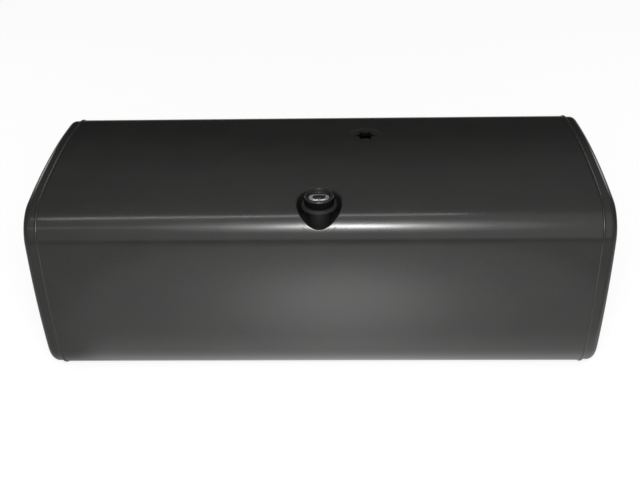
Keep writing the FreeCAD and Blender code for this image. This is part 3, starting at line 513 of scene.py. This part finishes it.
def window_rim(index, first_row, last_row, first_column, last_column):
    """Numbers of the grid points round a window, in order."""
    rows = np.arange(first_row, last_row)
    columns = np.arange(first_column, last_column)
    return np.concatenate(
        [
            index[rows, first_column],
            index[last_row, columns],
            index[rows[::-1] + 1, last_column],
            index[first_row, columns[::-1] + 1],
        ]
    )


SEAT_STEP = 5 * MM
NEAR_TOP = 0.1


def press_seat(sizes, section, points):
    """Presses the sender's flat: a place within its radius drops square to the crown on to one plane, and the edge
    runs out as a smooth step.
    """
    y, z, normal_y, normal_z = section.at(section.run_at(np.array([sizes.sender_y])))
    centre = np.array([sizes.sender_x, y[0], z[0]])
    normal = np.array([0.0, normal_y[0], normal_z[0]])
    height = (points - centre) @ normal
    reach = np.linalg.norm(points - centre - height[:, None] * normal, axis=1)
    share = np.clip((sizes.sender_seat + SEAT_STEP / 2 - reach) / SEAT_STEP, 0, 1)
    share = np.where(np.abs(height) < NEAR_TOP, share * share * (3 - 2 * share), 0)
    return points + (share * (-sizes.sender_depth - height))[:, None] * normal


# Room between an opening and the window in the grid round it, how far the spokes gather towards the lobes, and half
# the width of the close rings over the pressed step.
SENDER_ROOM, POCKET_ROOM = 0.016, 0.024
GATHER = 0.105
STEP_HALF = 0.004


class MakeShell(bpy.types.Operator):
    """Rolled shell of the tank, with its pressed flat and the ways for the pocket and the sender"""

    bl_idname = "fuel_tank.make_shell"
    bl_label = "Shell"

    def execute(self, context):
        """The shell is a grid over the place along the tank and the run round its section. Two windows in the grid
        are filled by rings that go from the window's edge to the edge of the opening, each ring the same share of
        the way along every spoke.
        """
        sizes = context.scene.fuel_tank_sizes
        section = Section(sizes)
        end = SHELL_HIGH.x
        sender_run = section.run_at(np.array([sizes.sender_y]))[0]
        sender_half = sizes.sender_seat + SENDER_ROOM
        pocket_half = sizes.pocket_radius + POCKET_ROOM
        west, east = FILLER_X - pocket_half, FILLER_X + pocket_half
        sender_west, sender_east = sizes.sender_x - sender_half, sizes.sender_x + sender_half
        xs = lines((-end, west, sender_west, east, sender_east, end), (0.025, 0.0045, 0.004, 0.0042, 0.025))
        top, high, low, foot, half_run = section.knots[1:]
        pocket_back = section.run_at(np.array([FILLER_Y + pocket_half]))[0]
        sender_back, sender_front = sender_run - sender_half, sender_run + sender_half
        knots = (-half_run, -foot, -low, -high, -top, sender_back, sender_front, pocket_back, *section.knots[1:])
        steps = (*ROUND_STEPS[:0:-1], 0.012, 0.0036, 0.015, 0.0045, 0.0045, *ROUND_STEPS[2:])
        runs = lines(knots, steps)[:-1]
        index = np.arange(len(xs) * len(runs)).reshape(len(xs), len(runs))
        spread_x, spread_run = (part.ravel() for part in np.meshgrid(xs, runs, indexing="ij"))
        y, z, _, _ = section.at(spread_run)
        points = [np.stack([spread_x, y, z], axis=1)]
        made = len(points[0])
        cells = quads(len(xs), len(runs), closed_columns=True)
        open_cells = np.zeros((len(xs) - 1, len(runs)), bool)
        faces = []

        def nearest(values, value):
            return int(np.argmin(np.abs(values - value)))

        windows = (west, east, pocket_back, high), (sender_west, sender_east, sender_back, sender_front)
        for number, (left, right, back, front) in enumerate(windows):
            rows = nearest(xs, left), nearest(xs, right)
            columns = nearest(runs, back), nearest(runs, front)
            open_cells[rows[0] : rows[1], columns[0] : columns[1]] = True
            rim = window_rim(index, *rows, *columns)
            rim_x, rim_run = spread_x[rim], spread_run[rim]
            if number == 0:
                way = sizes.pocket_radius + sizes.pocket_margin
                middle = section.run_at(np.array([FILLER_Y]))[0]
                angle = np.arctan2(-(rim_run - middle), rim_x - FILLER_X)
                hole_x = FILLER_X + way * np.cos(angle)
                hole_run = section.run_at(FILLER_Y + way * np.sin(angle))
                shares = np.linspace(0, 1, 9)[:-1]
                rings = [
                    (hole_x + (rim_x - hole_x) * share, hole_run + (rim_run - hole_run) * share) for share in shares
                ]
            else:
                angle = np.arctan2(-(rim_run - sender_run), rim_x - sizes.sender_x)
                gathered = angle - GATHER * np.sin(6 * angle)
                inner = sender_outline(sizes, gathered)
                outer = np.hypot(rim_run - sender_run, rim_x - sizes.sender_x)
                before, after = sizes.sender_seat - STEP_HALF, sizes.sender_seat + STEP_HALF
                shares = np.linspace(0, 1, 10)[:-1]
                rings = [
                    (inner + (before - inner) * share, gathered + (angle - gathered) * share) for share in shares
                ]
                rings += [(np.full_like(angle, reach), angle) for reach in np.linspace(before, after, 11)]
                rings += [(after + (outer - after) * share, angle) for share in (0.33, 0.66)]
                rings = [
                    (sizes.sender_x + reach * np.cos(turn), sender_run - reach * np.sin(turn)) for reach, turn in rings
                ]
            numbers = []
            for ring_x, ring_run in rings:
                ring_y, ring_z, _, _ = section.at(ring_run)
                points.append(np.stack([ring_x, ring_y, ring_z], axis=1))
                numbers.append(made + np.arange(len(rim)))
                made += len(rim)
            numbers.append(rim)
            for inside, outside in zip(numbers[:-1], numbers[1:]):
                faces.append(np.stack([inside, outside, np.roll(outside, -1), np.roll(inside, -1)], axis=1))
        faces.insert(0, cells[~open_cells.ravel()])
        points = press_seat(sizes, section, np.concatenate(points))
        colours = context.scene.fuel_tank_colours
        finishes = (enamel_finish(colours), grained_finish(colours, "steel"))
        add_piece("tank_shell", points, np.concatenate(faces)[:, ::-1], "shell", finishes, wall=sizes.sheet)
        return {"FINISHED"}


def carried(section, stations, insets, side):
    """Carries a profile round the section. Each row is one point of the profile, its place along the tank and its
    inset from the shell's outside, taken round every run.
    """
    half = lines(section.knots, ROUND_STEPS)
    runs = np.concatenate([-half[::-1], half[1:-1]])
    y, z, normal_y, normal_z = section.at(runs)
    x = side * np.repeat(np.asarray(stations)[:, None], len(runs), axis=1)
    inset = np.asarray(insets)[:, None]
    points = np.stack([x, y[None] - inset * normal_y[None], z[None] - inset * normal_z[None]], axis=-1)
    return points, runs


class MakeHeads(bpy.types.Operator):
    """Stamped heads that close the tank's ends"""

    bl_idname = "fuel_tank.make_heads"
    bl_label = "Heads"

    def execute(self, context):
        """A head's profile goes along its skirt, round a quarter circle and over the flat end wall, whose rings
        shrink evenly to the middle.
        """
        scene = context.scene
        sizes = scene.fuel_tank_sizes
        section = Section(sizes)
        colours = scene.fuel_tank_colours
        finishes = (enamel_finish(colours), grained_finish(colours, "steel"))
        turn = np.linspace(0, math.pi / 2, 13)
        skirt = np.linspace(HEAD_LOW.x, HEAD_HIGH.x - sizes.head_edge, 8)[:-1]
        bend = HEAD_HIGH.x - sizes.head_edge + sizes.head_edge * np.sin(turn)
        stations = np.concatenate([skirt, bend])
        insets = sizes.head_step + np.concatenate([0 * skirt, sizes.head_edge * (1 - np.cos(turn))])
        for node, side in (("left_head", -1), ("right_head", 1)):
            rows, runs = carried(section, stations, insets, side)
            edge = rows[-1]
            middle = np.array([edge[0, 0], 0.0, (edge[:, 2].min() + edge[:, 2].max()) / 2])
            rings = [middle + (edge - middle) * share for share in np.linspace(1, 0, 13)[1:]]
            points = np.concatenate([rows, np.array(rings)]).reshape(-1, 3)
            faces = quads(len(rows) + len(rings), len(runs), closed_columns=True)
            if side > 0:
                faces = faces[:, ::-1]
            add_piece(f"{node}_pressing", points, faces, node, finishes, wall=sizes.sheet)
        return {"FINISHED"}


class MakeWelds(bpy.types.Operator):
    """Weld beads over the shell's edges and on its own lengthwise seam"""

    bl_idname = "fuel_tank.make_welds"
    bl_label = "Weld beads"

    def execute(self, context):
        """A seam bead's profile is half an ellipse that leans down to the skirt on the head's side, carried round
        the section; the lengthwise bead is a flat arc carried straight.
        """
        scene = context.scene
        sizes = scene.fuel_tank_sizes
        section = Section(sizes)
        finish = enamel_finish(scene.fuel_tank_colours, beaded=True)
        turn = np.linspace(0, math.pi, 15)
        middle = (WELD_LOW.x + WELD_HIGH.x) / 2
        stations = middle - sizes.bead_width / 2 * np.cos(turn)
        stations = np.concatenate([stations, [WELD_HIGH.x, SHELL_HIGH.x, SHELL_HIGH.x]])
        insets = -sizes.bead_height * np.sin(turn) ** 0.8
        insets = np.concatenate([insets, [sizes.head_step, sizes.head_step, 0.0]])
        for node, side in (("left_seam_weld", -1), ("right_seam_weld", 1)):
            rows, runs = carried(section, stations, insets, side)
            count, round_count = rows.shape[:2]
            faces = quads(count, round_count, closed_rows=True, closed_columns=True)
            step = 2 * section.half_run / round_count
            along = corner_places(np.arange(count + 1) * MM, np.append(runs, runs[-1] + step))[..., ::-1]
            if side > 0:
                faces, along = faces[:, ::-1], along[:, ::-1]
            add_piece(f"{node}_bead", rows.reshape(-1, 3), faces, node, [finish], along=along)
        half = (LONG_WELD_HIGH.z - LONG_WELD_LOW.z) / 2
        level = (LONG_WELD_HIGH.z + LONG_WELD_LOW.z) / 2
        proud = LONG_WELD_HIGH.y - SHELL_HIGH.y
        share = np.linspace(-1, 1, 13)
        z = level + half * share
        y = SHELL_HIGH.y + proud * (1 - share**2)
        xs = np.linspace(LONG_WELD_LOW.x, LONG_WELD_HIGH.x, 121)
        rows = np.stack(np.broadcast_arrays(xs[:, None], y[None], z[None]), axis=-1)
        sunk = 0.3 * MM
        foot = np.stack(np.broadcast_arrays(xs[:, None], SHELL_HIGH.y - sunk, z[None, ::-1][:, [0, -1]]), axis=-1)
        rows = np.concatenate([rows, foot], axis=1)
        count, round_count = rows.shape[:2]
        faces = quads(count, round_count, closed_columns=True)
        along = corner_places(xs, np.arange(round_count + 1) * MM)[:, ::-1]
        piece_faces = [list(face) for face in faces[:, ::-1]]
        ends = [list(range(round_count))[::-1], list(range((count - 1) * round_count, count * round_count))]
        along = np.concatenate([along.reshape(-1, 2), np.zeros((2 * round_count, 2))])
        add_piece("long_seam_bead", rows.reshape(-1, 3), piece_faces + ends, "long_seam_weld", [finish], along=along)
        return {"FINISHED"}


def about_filler(reach, angle, height):
    """Places about the filler's upright axis from reach, angle and height."""
    reach, angle, height = np.broadcast_arrays(reach, angle, height)
    return np.stack([FILLER_X + reach * np.cos(angle), FILLER_Y + reach * np.sin(angle), height], axis=-1)


class MakeFillerPocket(bpy.types.Operator):
    """Round pocket in the front upper corner, with its rolled lip"""

    bl_idname = "fuel_tank.make_filler_pocket"
    bl_label = "Filler pocket"

    def execute(self, context):
        """For each direction from the filler's axis, the profile follows the tank's outside inwards, turns down over
        a lip that touches both that slope and the upright wall, goes down the wall and turns in along the floor.
        The lip grows from the front to the back by the cosine of the direction.
        """
        scene = context.scene
        sizes = scene.fuel_tank_sizes
        section = Section(sizes)
        angle = np.linspace(0, 2 * math.pi, 145)[:-1]

        def surface(reach):
            away = np.abs(FILLER_Y + reach * np.sin(angle))
            run = section.run_at(-away)
            _, height, normal_y, normal_z = section.at(run)
            return height, np.arctan(-normal_y / normal_z * np.sin(angle))

        lip = sizes.lip_front + (sizes.lip_back - sizes.lip_front) * (1 + np.sin(angle)) / 2
        start = sizes.pocket_radius + lip
        for _ in range(4):
            slope = surface(start)[1]
            start = sizes.pocket_radius + lip * (1 - np.sin(slope))
        height, slope = surface(start)
        centre = sizes.pocket_radius + lip
        centre_height = height - lip * np.cos(slope)
        rows = []
        for share in np.linspace(0, 1, 6)[:-1]:
            reach = sizes.pocket_radius + sizes.pocket_margin
            reach = reach + (start - reach) * share
            rows.append(about_filler(reach, angle, surface(reach)[0]))
        first = math.pi / 2 + slope
        for share in np.linspace(0, 1, 13):
            turn = first + (math.pi - first) * share
            rows.append(about_filler(centre + lip * np.cos(turn), angle, centre_height + lip * np.sin(turn)))
        dull_from = len(rows) - 1
        bend = 3 * MM
        for share in np.linspace(0, 1, 8)[1:]:
            level = centre_height + (sizes.pocket_floor + bend - centre_height) * share
            rows.append(about_filler(sizes.pocket_radius, angle, level))
        for turn in np.linspace(0, math.pi / 2, 7)[1:]:
            reach = sizes.pocket_radius - bend * (1 - math.cos(turn))
            rows.append(about_filler(reach, angle, sizes.pocket_floor + bend * (1 - math.sin(turn))))
        neck = 32.1 * MM
        for share in np.linspace(0, 1, 6)[1:]:
            reach = sizes.pocket_radius - bend + (neck - sizes.pocket_radius + bend) * share
            rows.append(about_filler(reach, angle, sizes.pocket_floor))
        colours = scene.fuel_tank_colours
        add_piece(
            "filler_pocket_cup",
            np.concatenate(rows),
            quads(len(rows), len(angle), closed_columns=True)[:, ::-1],
            "filler_pocket",
            (enamel_finish(colours), grained_finish(colours, "overspray"), grained_finish(colours, "steel")),
            finish_of=np.repeat(np.arange(len(rows) - 1) >= dull_from, len(angle)),
            wall=sizes.sheet,
            crease=60,
        )
        return {"FINISHED"}


class MakeNeckFlange(bpy.types.Operator):
    """Pressed ring that the cap sits on, with its two notches"""

    bl_idname = "fuel_tank.make_neck_flange"
    bl_label = "Neck flange"

    def execute(self, context):
        """The ring's closed profile is carried round the filler's axis. Its inner edge follows the bore and, over
        48 degrees at each end of the X axis, the notches for the cap's lugs.
        """
        edge = math.radians(24)
        even = np.linspace(0, 2 * math.pi, 145)[:-1]
        jumps = [turn + side * (edge + step) for turn in (0, math.pi) for side in (-1, 1) for step in (-1e-4, 1e-4)]
        angle = np.unique(np.concatenate([even, np.mod(jumps, 2 * math.pi)]))
        folded = np.abs(np.mod(angle + math.pi / 2, math.pi) - math.pi / 2)
        notch, round_bore = 29.6 * MM, 23 * MM
        bore = np.where(folded < edge, notch, round_bore)
        # Reach and height above the seat in millimetres, and the rounding of each corner.
        corners = [(36, 0), (47.25, 0), (50, -9), (47.5, -9), (46, -2.5), (36, -2.5)]
        outer = rounded(corners, (3.0, 0.8, 0.4, 1.2), 5)
        rows = [about_filler(bore + offset * MM, angle, SEAT + z * MM) for offset, z in ((0.0, -0.4), (0.4, 0.0))]
        rows += [about_filler(reach * MM, angle, SEAT + z * MM) for reach, z in outer]
        rows += [about_filler(bore + offset * MM, angle, SEAT + z * MM) for offset, z in ((0.4, -2.5), (0.0, -2.1))]
        on_top = [max(np.ptp(row[:, 2]), abs(row[0, 2] - SEAT)) < 0.5 * MM for row in rows]
        dull = [not (here and after) for here, after in zip(on_top, on_top[1:] + on_top[:1])]
        colours = context.scene.fuel_tank_colours
        add_piece(
            "neck_flange_ring",
            np.concatenate(rows),
            quads(len(rows), len(angle), closed_rows=True, closed_columns=True),
            "neck_flange",
            (enamel_finish(colours), grained_finish(colours, "overspray")),
            finish_of=np.repeat(dull, len(angle)),
        )
        return {"FINISHED"}


class MakeCapCover(bpy.types.Operator):
    """Cast cover of the filler cap, with its dish and oblong grip"""

    bl_idname = "fuel_tank.make_cap_cover"
    bl_label = "Cap cover"

    def execute(self, context):
        """A closed profile is carried round the cap's axis: up the barrel's hole, over the grip, whose outline is an
        oblong, down to the dish, up to the rim, down the skirt and back under the dish.
        """
        scene = context.scene
        sizes = scene.fuel_tank_sizes
        angle = np.linspace(0, 2 * math.pi, 181)[:-1]
        round_end = sizes.grip_width / 2
        run = sizes.grip_length / 2 - round_end
        lacquered, worn, flat_black = 0, 1, 2
        rows, kinds = [], []

        def add(reach, height, kind=lacquered):
            rows.append(about_filler(reach, angle, SEAT + height * MM))
            kinds.append(kind)

        # Heights are in millimetres above the seat.
        hole, ledge, grip_top, grip_edge, dish = 7.55, 9.0, 17.0, 1.5, 13
        for reach, height in ((hole, 11), (hole, 15.5), (8.8, 15.5), (8.8, 16.8), (ledge, grip_top)):
            add(reach * MM, height)
        edge_inset = grip_edge * MM
        top_edge = oblong(angle, run, round_end - edge_inset)
        # The grip's top and rounded edge get the pale worn zinc: partly wear, partly a painted highlight round the
        # grip.
        for share in np.linspace(0, 1, 5)[1:]:
            add(ledge * MM + (top_edge - ledge * MM) * share, grip_top, worn if share > 0.3 else lacquered)
        for turn in np.linspace(0, math.pi / 2, 6)[1:]:
            reach = oblong(angle, run, round_end - edge_inset + edge_inset * math.sin(turn))
            add(reach, grip_top - grip_edge * (1 - math.cos(turn)), worn)
        for turn in np.linspace(0, math.pi / 2, 5):
            reach = oblong(angle, run, round_end + MM * (1 - math.cos(turn)))
            add(reach, dish + 1 - math.sin(turn))
        corners = [(29.2, dish), (31.5, dish), (34, 24), (41, 24), (41, 2), (36.3, 2), (36.3, 3), (38.5, 3)]
        corners += [(38.5, 20), (36, 20), (33.5, 11), (hole, 11)]
        radii = (1.2, 1.6, sizes.cap_rim / MM - 0.3, 0.5, 0.3, 0.2, 0.3, 1.0, 0.5, 1.0)
        for reach, height in rounded(corners, radii, 8)[:-1]:
            add(reach * MM, height, flat_black if reach > 36 and height < 21 else lacquered)
        colours = scene.fuel_tank_colours
        add_piece(
            "cap_cover_casting",
            np.concatenate(rows),
            quads(len(rows), len(angle), closed_rows=True, closed_columns=True),
            "cap_cover",
            [grained_finish(colours, kind) for kind in ("lacquer", "worn_zinc_and_painted_highlight", "flat_black")],
            finish_of=np.repeat(kinds, len(angle)),
            body="cap",
        )
        return {"FINISHED"}


class MakeKeyShutter(bpy.types.Operator):
    """Oblong cover over the key slot, which swings on a pin"""

    bl_idname = "fuel_tank.make_key_shutter"
    bl_label = "Key shutter"

    def execute(self, context):
        """Rings of an oblong from the middle of the underside over a rounded edge to the middle of the top, which
        is crowned by a tenth of a millimetre.
        """
        angle = np.linspace(0, 2 * math.pi, 97)[:-1]
        middle_x = (SHUTTER_LOW.x + SHUTTER_HIGH.x) / 2
        radius = (SHUTTER_HIGH.y - SHUTTER_LOW.y) / 2
        run = (SHUTTER_HIGH.x - SHUTTER_LOW.x) / 2 - radius
        top, bottom = SHUTTER_HIGH.z, SHUTTER_HIGH.z - 1.5 * MM
        foot, edge, crown = 0.2 * MM, 0.5 * MM, 0.1 * MM
        turn = np.linspace(0, math.pi / 2, 5)
        insets = np.concatenate([[foot, 0.0], edge * (1 - np.cos(turn))])
        heights = np.concatenate([[bottom, bottom + foot], top - crown - edge + edge * np.sin(turn)])
        rows = [(0.0 * angle, bottom)]
        rows += [(oblong(angle, run, radius - inset), height) for inset, height in zip(insets, heights)]
        last = oblong(angle, run, radius - edge)
        rows += [(last * share, top - crown * share**2) for share in np.linspace(1, 0, 7)[1:]]
        points = np.concatenate([about_filler(reach, angle, height) for reach, height in rows])
        points[:, 0] += middle_x - FILLER_X
        add_piece(
            "key_shutter_plate",
            points,
            quads(len(rows), len(angle), closed_columns=True)[:, ::-1],
            "key_shutter",
            [grained_finish(context.scene.fuel_tank_colours, "nylon")],
            body="shutter",
        )
        return {"FINISHED"}


# The pieces that keep their solids, by finish.
SOLIDS = {
    "overspray": ("filler_neck",),
    "enamel": ("drain_boss",),
    "steel": ("left_baffle", "right_baffle"),
    # The sender ring is near black as painted shade: it stands for the dark inside of the tank under the opening.
    "flat_black": ("sender_ring",),
    "copper": ("drain_washer",),
    "nylon": ("cap_core", "vent_insert"),
    "rubber": ("cap_seal",),
    "zinc": ("drain_plug", "bayonet_plate", "plate_screw", "lock_barrel", "lock_cam", "lock_bolt"),
}


class FinishSolids(bpy.types.Operator):
    """Finishes of the pieces that keep their solids: seal, core, lock, baffles, neck, ring and drain"""

    bl_idname = "fuel_tank.finish_solids"
    bl_label = "Inner pieces"

    def execute(self, context):
        colours = context.scene.fuel_tank_colours
        finishes = {"enamel": enamel_finish(colours)}
        finishes |= {kind: grained_finish(colours, kind) for kind in SOLIDS if kind not in finishes}
        for kind, names in SOLIDS.items():
            for name in names:
                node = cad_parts[name]
                node.data.materials.clear()
                node.data.materials.append(finishes[kind])
        return {"FINISHED"}


# Studio

# The floor is white paint that also gives light of its own: shares of it for a look straight at it and for a look by
# way of the enamel. Seen straight, that light is even.
FLOOR_REACH = 30.0
SEEN_SHARE, MIRRORED_SHARE = 0.7, 0.33
SEEN_STRENGTH = 1.2

# In the enamel it is a painted pool of light in front of the tank, from its edge (0) to its middle (1), and a painted
# strip of light under the tank's front edge; both make painted reflections in the enamel. Spans of Y over which the
# strip grows and ends, and of X over which it starts.
POOL_PLACE, POOL_REACH = (0.06, -0.75, 0.0), (1.35, 1.27, 1.0)
POOL_STRENGTHS = {0.2: 0.25, 0.29: 0.35, 0.38: 1.1, 0.45: 1.3, 0.55: 1.5, 0.65: 2.1, 0.7: 2.45, 0.785: 3.7}
POOL_STRENGTHS |= {0.822: 4.3, 0.889: 5.3, 0.956: 5.8, 1.0: 6.0}
STRIP_STRENGTH = 1.6
STRIP_GROWS, STRIP_ENDS, STRIP_STARTS = (-0.5, -0.4), (-0.335, -0.3), (-0.74, -0.66)

# Levels of the sky: bright behind the camera and dark behind the tank (by Y of the direction), fading to both sides
# (by X).
SKY_BACK = {-1.0: 1.1, -0.4: 1.0, -0.2: 0.62, 0.0: 0.5, 0.2: 0.5, 0.7: 0.35, 0.8: 0.22, 0.86: 0.12}
SKY_BACK |= {0.93: 0.04, 1.0: 0.03}
SKY_SIDES = {-1.0: 0.3, -0.35: 0.5, -0.28: 0.62, -0.2: 0.85, -0.1: 1.0, 0.15: 1.0, 0.27: 0.87, 0.6: 0.5, 1.0: 0.3}

# Lamps, as name, shape, centre, lie, target, size and radiance. They face the tank's front upper corner. The key
# softbox fades outwards in rings, a narrow strip runs on from it to the left, and a second strip hangs nearer and
# higher. One softbox stands behind each end.
CORNER = Vector((0.04, -0.3, 0.53))
KEY = Vector((0.1, -2.215, 1.97))
KEY_RINGS = (((0.45, 0.3), 34.0), ((0.8, 0.55), 13.0), ((1.4, 1.0), 3.0), ((2.1, 1.5), 0.8))
LEFT, RIGHT = Vector((-1.2, -0.93, 1.89)), Vector((0.62, -0.73, 1.925))
LEVEL, UPRIGHT = Vector((1, 0, 0)), Vector((0, 0, 1))
LAMPS = (
    *(
        (f"key_softbox_{number}", "ELLIPSE", KEY, LEVEL, CORNER, size, radiance)
        for number, (size, radiance) in enumerate(KEY_RINGS)
    ),
    ("strip_low", "RECTANGLE", KEY - 1.1 * LEVEL, LEVEL, CORNER, (2.2, 0.05), 3.0),
    *(
        (f"side_softbox_{side}", "ELLIPSE", Vector((2.4 * side, 2.27, 1.29)), UPRIGHT, edge, (1.0, 0.6), 1.8)
        for side, edge in ((-1, Vector((-0.76, 0, 0.55))), (1, Vector((0.76, 0, 0.55))))
    ),
    ("strip", "RECTANGLE", (LEFT + RIGHT) / 2, RIGHT - LEFT, CORNER, ((RIGHT - LEFT).length, 0.07), 6.5),
)

# The camera, as fitted to the photograph's outline of the tank.
CAMERA_PLACE = (0.078, -2.4316, 1.845)
CAMERA_RIGHT = Vector((0.99958, 0.02088, -0.02025))
CAMERA_FORWARD = Vector((-0.02854, 0.83774, -0.54532))
FOCAL_LENGTH, SENSOR_WIDTH = 52.677, 36


def greys(levels, shift=0.0, scale=1.0, strongest=1.0):
    """Stops of a ramp from levels of grey by place, with the places shifted and scaled."""
    return [((place + shift) * scale, (level / strongest,) * 3) for place, level in levels.items()]


def make_floor(scene):
    mesh = bpy.data.meshes.new("studio_floor")
    far = FLOOR_REACH
    mesh.from_pydata([(-far, -far, 0), (far, -far, 0), (far, far, 0), (-far, far, 0)], [], [(0, 1, 2, 3)])
    floor = bpy.data.objects.new("studio_floor", mesh)
    scene.collection.objects.link(floor)
    finish, tree = new_finish("Studio floor, matt white paint")
    times, times_plus = {"operation": "MULTIPLY"}, {"operation": "MULTIPLY_ADD"}
    ray = add_node(tree, "ShaderNodeLightPath").outputs
    seen = add_node(tree, "ShaderNodeMath", times, {1: SEEN_SHARE}, {0: ray["Is Camera Ray"]})
    share = add_node(tree, "ShaderNodeMath", times_plus, {1: MIRRORED_SHARE}, {0: ray["Is Glossy Ray"], 2: seen})
    at = {"Vector": add_node(tree, "ShaderNodeTexCoord").outputs["Object"]}
    # Painted pool and strip of light in the floor's glow, seen only by way of the enamel.
    values = {"Location": POOL_PLACE, "Scale": POOL_REACH}
    pool = add_node(tree, "ShaderNodeMapping", {"vector_type": "TEXTURE"}, values, at)
    pool = add_node(tree, "ShaderNodeTexGradient", {"gradient_type": "SPHERICAL"}, links={"Vector": pool})
    strongest = POOL_STRENGTHS[1.0]
    stops = greys(POOL_STRENGTHS, strongest=strongest)
    pool = add_node(tree, "ShaderNodeValToRGB", links={"Fac": pool.outputs["Fac"]}, stops=stops)
    part = add_node(tree, "ShaderNodeSeparateXYZ", links=at).outputs
    grown, ended, started = (
        add_node(tree, "ShaderNodeMapRange", values=zip(RANGE, spans), links={"Value": part[axis]})
        for axis, spans in (
            ("Y", (*STRIP_GROWS, 0.0, STRIP_STRENGTH)),
            ("Y", (*STRIP_ENDS, 1.0, 0.0)),
            ("X", (*STRIP_STARTS, 0.0, 1.0)),
        )
    )
    strip = add_node(tree, "ShaderNodeMath", times, links={0: grown, 1: ended})
    strip = add_node(tree, "ShaderNodeMath", times, links={0: strip, 1: started})
    strength = add_node(tree, "ShaderNodeMath", times_plus, {1: strongest}, {0: pool, 2: strip})
    links = {0: ray["Is Camera Ray"], 2: strength}
    strength = add_node(tree, "ShaderNodeMix", values={3: SEEN_STRENGTH}, links=links)
    values = {"Base Color": (*scene.fuel_tank_colours.floor, 1), "Roughness": 0.5, "IOR": 1.4}
    paint = add_node(tree, "ShaderNodeBsdfPrincipled", values=values)
    glow = add_node(tree, "ShaderNodeEmission", values={"Color": (1, 1, 1, 1)}, links={"Strength": strength})
    shader = add_node(tree, "ShaderNodeMixShader", links={0: share, 1: paint, 2: glow})
    add_node(tree, "ShaderNodeOutputMaterial", links={"Surface": shader})
    mesh.materials.append(finish)


def make_sky(scene):
    world = bpy.data.worlds.new("studio_sky")
    world.use_nodes = True
    tree = world.node_tree
    tree.nodes.clear()
    place = add_node(tree, "ShaderNodeTexCoord")
    part = add_node(tree, "ShaderNodeSeparateXYZ", links={"Vector": place.outputs["Generated"]}).outputs
    spans = (-1.0, 1.0, 0.0, 1.0)
    ramps = []
    for axis, levels in (("Y", SKY_BACK), ("X", SKY_SIDES)):
        share = add_node(tree, "ShaderNodeMapRange", values=zip(RANGE, spans), links={"Value": part[axis]})
        ramps.append(add_node(tree, "ShaderNodeValToRGB", links={"Fac": share}, stops=greys(levels, 1.0, 0.5)))
    soft = add_node(tree, "ShaderNodeBackground", links=zip(("Color", "Strength"), ramps))
    white = add_node(tree, "ShaderNodeBackground", values={"Color": (1, 1, 1, 1), "Strength": 1.0})
    ray = add_node(tree, "ShaderNodeLightPath")
    links = {0: ray.outputs["Is Camera Ray"], 1: soft, 2: white}
    mixed = add_node(tree, "ShaderNodeMixShader", links=links)
    add_node(tree, "ShaderNodeOutputWorld", links={"Surface": mixed})
    scene.world = world


def turned(across, up, back):
    """The turn of a lamp or camera from its three axes."""
    return Matrix((across, up, back)).transposed().to_4x4()


def add_lamp(name, shape, centre, lie, target, size, radiance):
    """A flat lamp that faces a target, with its length as it lies. Its power is its radiance times pi times its
    area.
    """
    data = bpy.data.lights.new(name, "AREA")
    data.shape = shape
    data.size, data.size_y = size
    fill = math.pi / 4 if shape == "ELLIPSE" else 1.0
    data.energy = radiance * math.pi * size[0] * size[1] * fill
    lamp = bpy.data.objects.new(name, data)
    bpy.context.scene.collection.objects.link(lamp)
    back = (centre - target).normalized()
    up = back.cross(lie.normalized()).normalized()
    lamp.matrix_world = Matrix.Translation(centre) @ turned(up.cross(back), up, back)
    lamp.visible_camera = False


class MakeStage(bpy.types.Operator):
    """Floor, soft lamps, sky and camera"""

    bl_idname = "fuel_tank.make_stage"
    bl_label = "Studio"

    def execute(self, context):
        scene = context.scene
        make_floor(scene)
        make_sky(scene)
        for lamp in LAMPS:
            add_lamp(*lamp)
        lens = bpy.data.cameras.new("camera")
        lens.sensor_width = SENSOR_WIDTH
        lens.sensor_fit = "HORIZONTAL"
        lens.lens = FOCAL_LENGTH
        lens.clip_end = 100
        camera = bpy.data.objects.new("camera", lens)
        scene.collection.objects.link(camera)
        forward = (CAMERA_FORWARD - CAMERA_RIGHT * CAMERA_FORWARD.dot(CAMERA_RIGHT)).normalized()
        turn = turned(CAMERA_RIGHT, CAMERA_RIGHT.cross(forward), -forward)
        camera.matrix_world = Matrix.Translation(CAMERA_PLACE) @ turn
        scene.camera = camera
        scene.view_settings.view_transform = "Standard"
        return {"FINISHED"}


MAKERS = (
    MakeShell,
    MakeHeads,
    MakeWelds,
    MakeFillerPocket,
    MakeNeckFlange,
    MakeCapCover,
    MakeKeyShutter,
    FinishSolids,
    MakeStage,
)


class FuelTankPanel(bpy.types.Panel):
    """Lists the tank's pieces, sizes and colours"""

    bl_idname = "VIEW3D_PT_fuel_tank"
    bl_label = "Fuel tank"
    bl_space_type = "VIEW_3D"
    bl_region_type = "UI"
    bl_category = "Fuel tank"

    def draw(self, context):
        for maker in MAKERS:
            self.layout.operator(maker.bl_idname)
        for group in (context.scene.fuel_tank_sizes, context.scene.fuel_tank_colours):
            column = self.layout.column()
            for name in group.__annotations__:
                column.prop(group, name)


CLASSES = (FuelTankSizes, FuelTankColours, *MAKERS, FuelTankPanel)


def register():
    for item in CLASSES:
        bpy.utils.register_class(item)
    bpy.types.Scene.fuel_tank_sizes = bpy.props.PointerProperty(type=FuelTankSizes)
    bpy.types.Scene.fuel_tank_colours = bpy.props.PointerProperty(type=FuelTankColours)


def unregister():
    del bpy.types.Scene.fuel_tank_colours
    del bpy.types.Scene.fuel_tank_sizes
    for item in reversed(CLASSES):
        bpy.utils.unregister_class(item)


def main():
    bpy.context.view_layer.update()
    register()
    for maker in MAKERS:
        group, name = maker.bl_idname.split(".")
        getattr(getattr(bpy.ops, group), name)()
    bpy.context.view_layer.update()


if __name__ == "__main__":
    main()
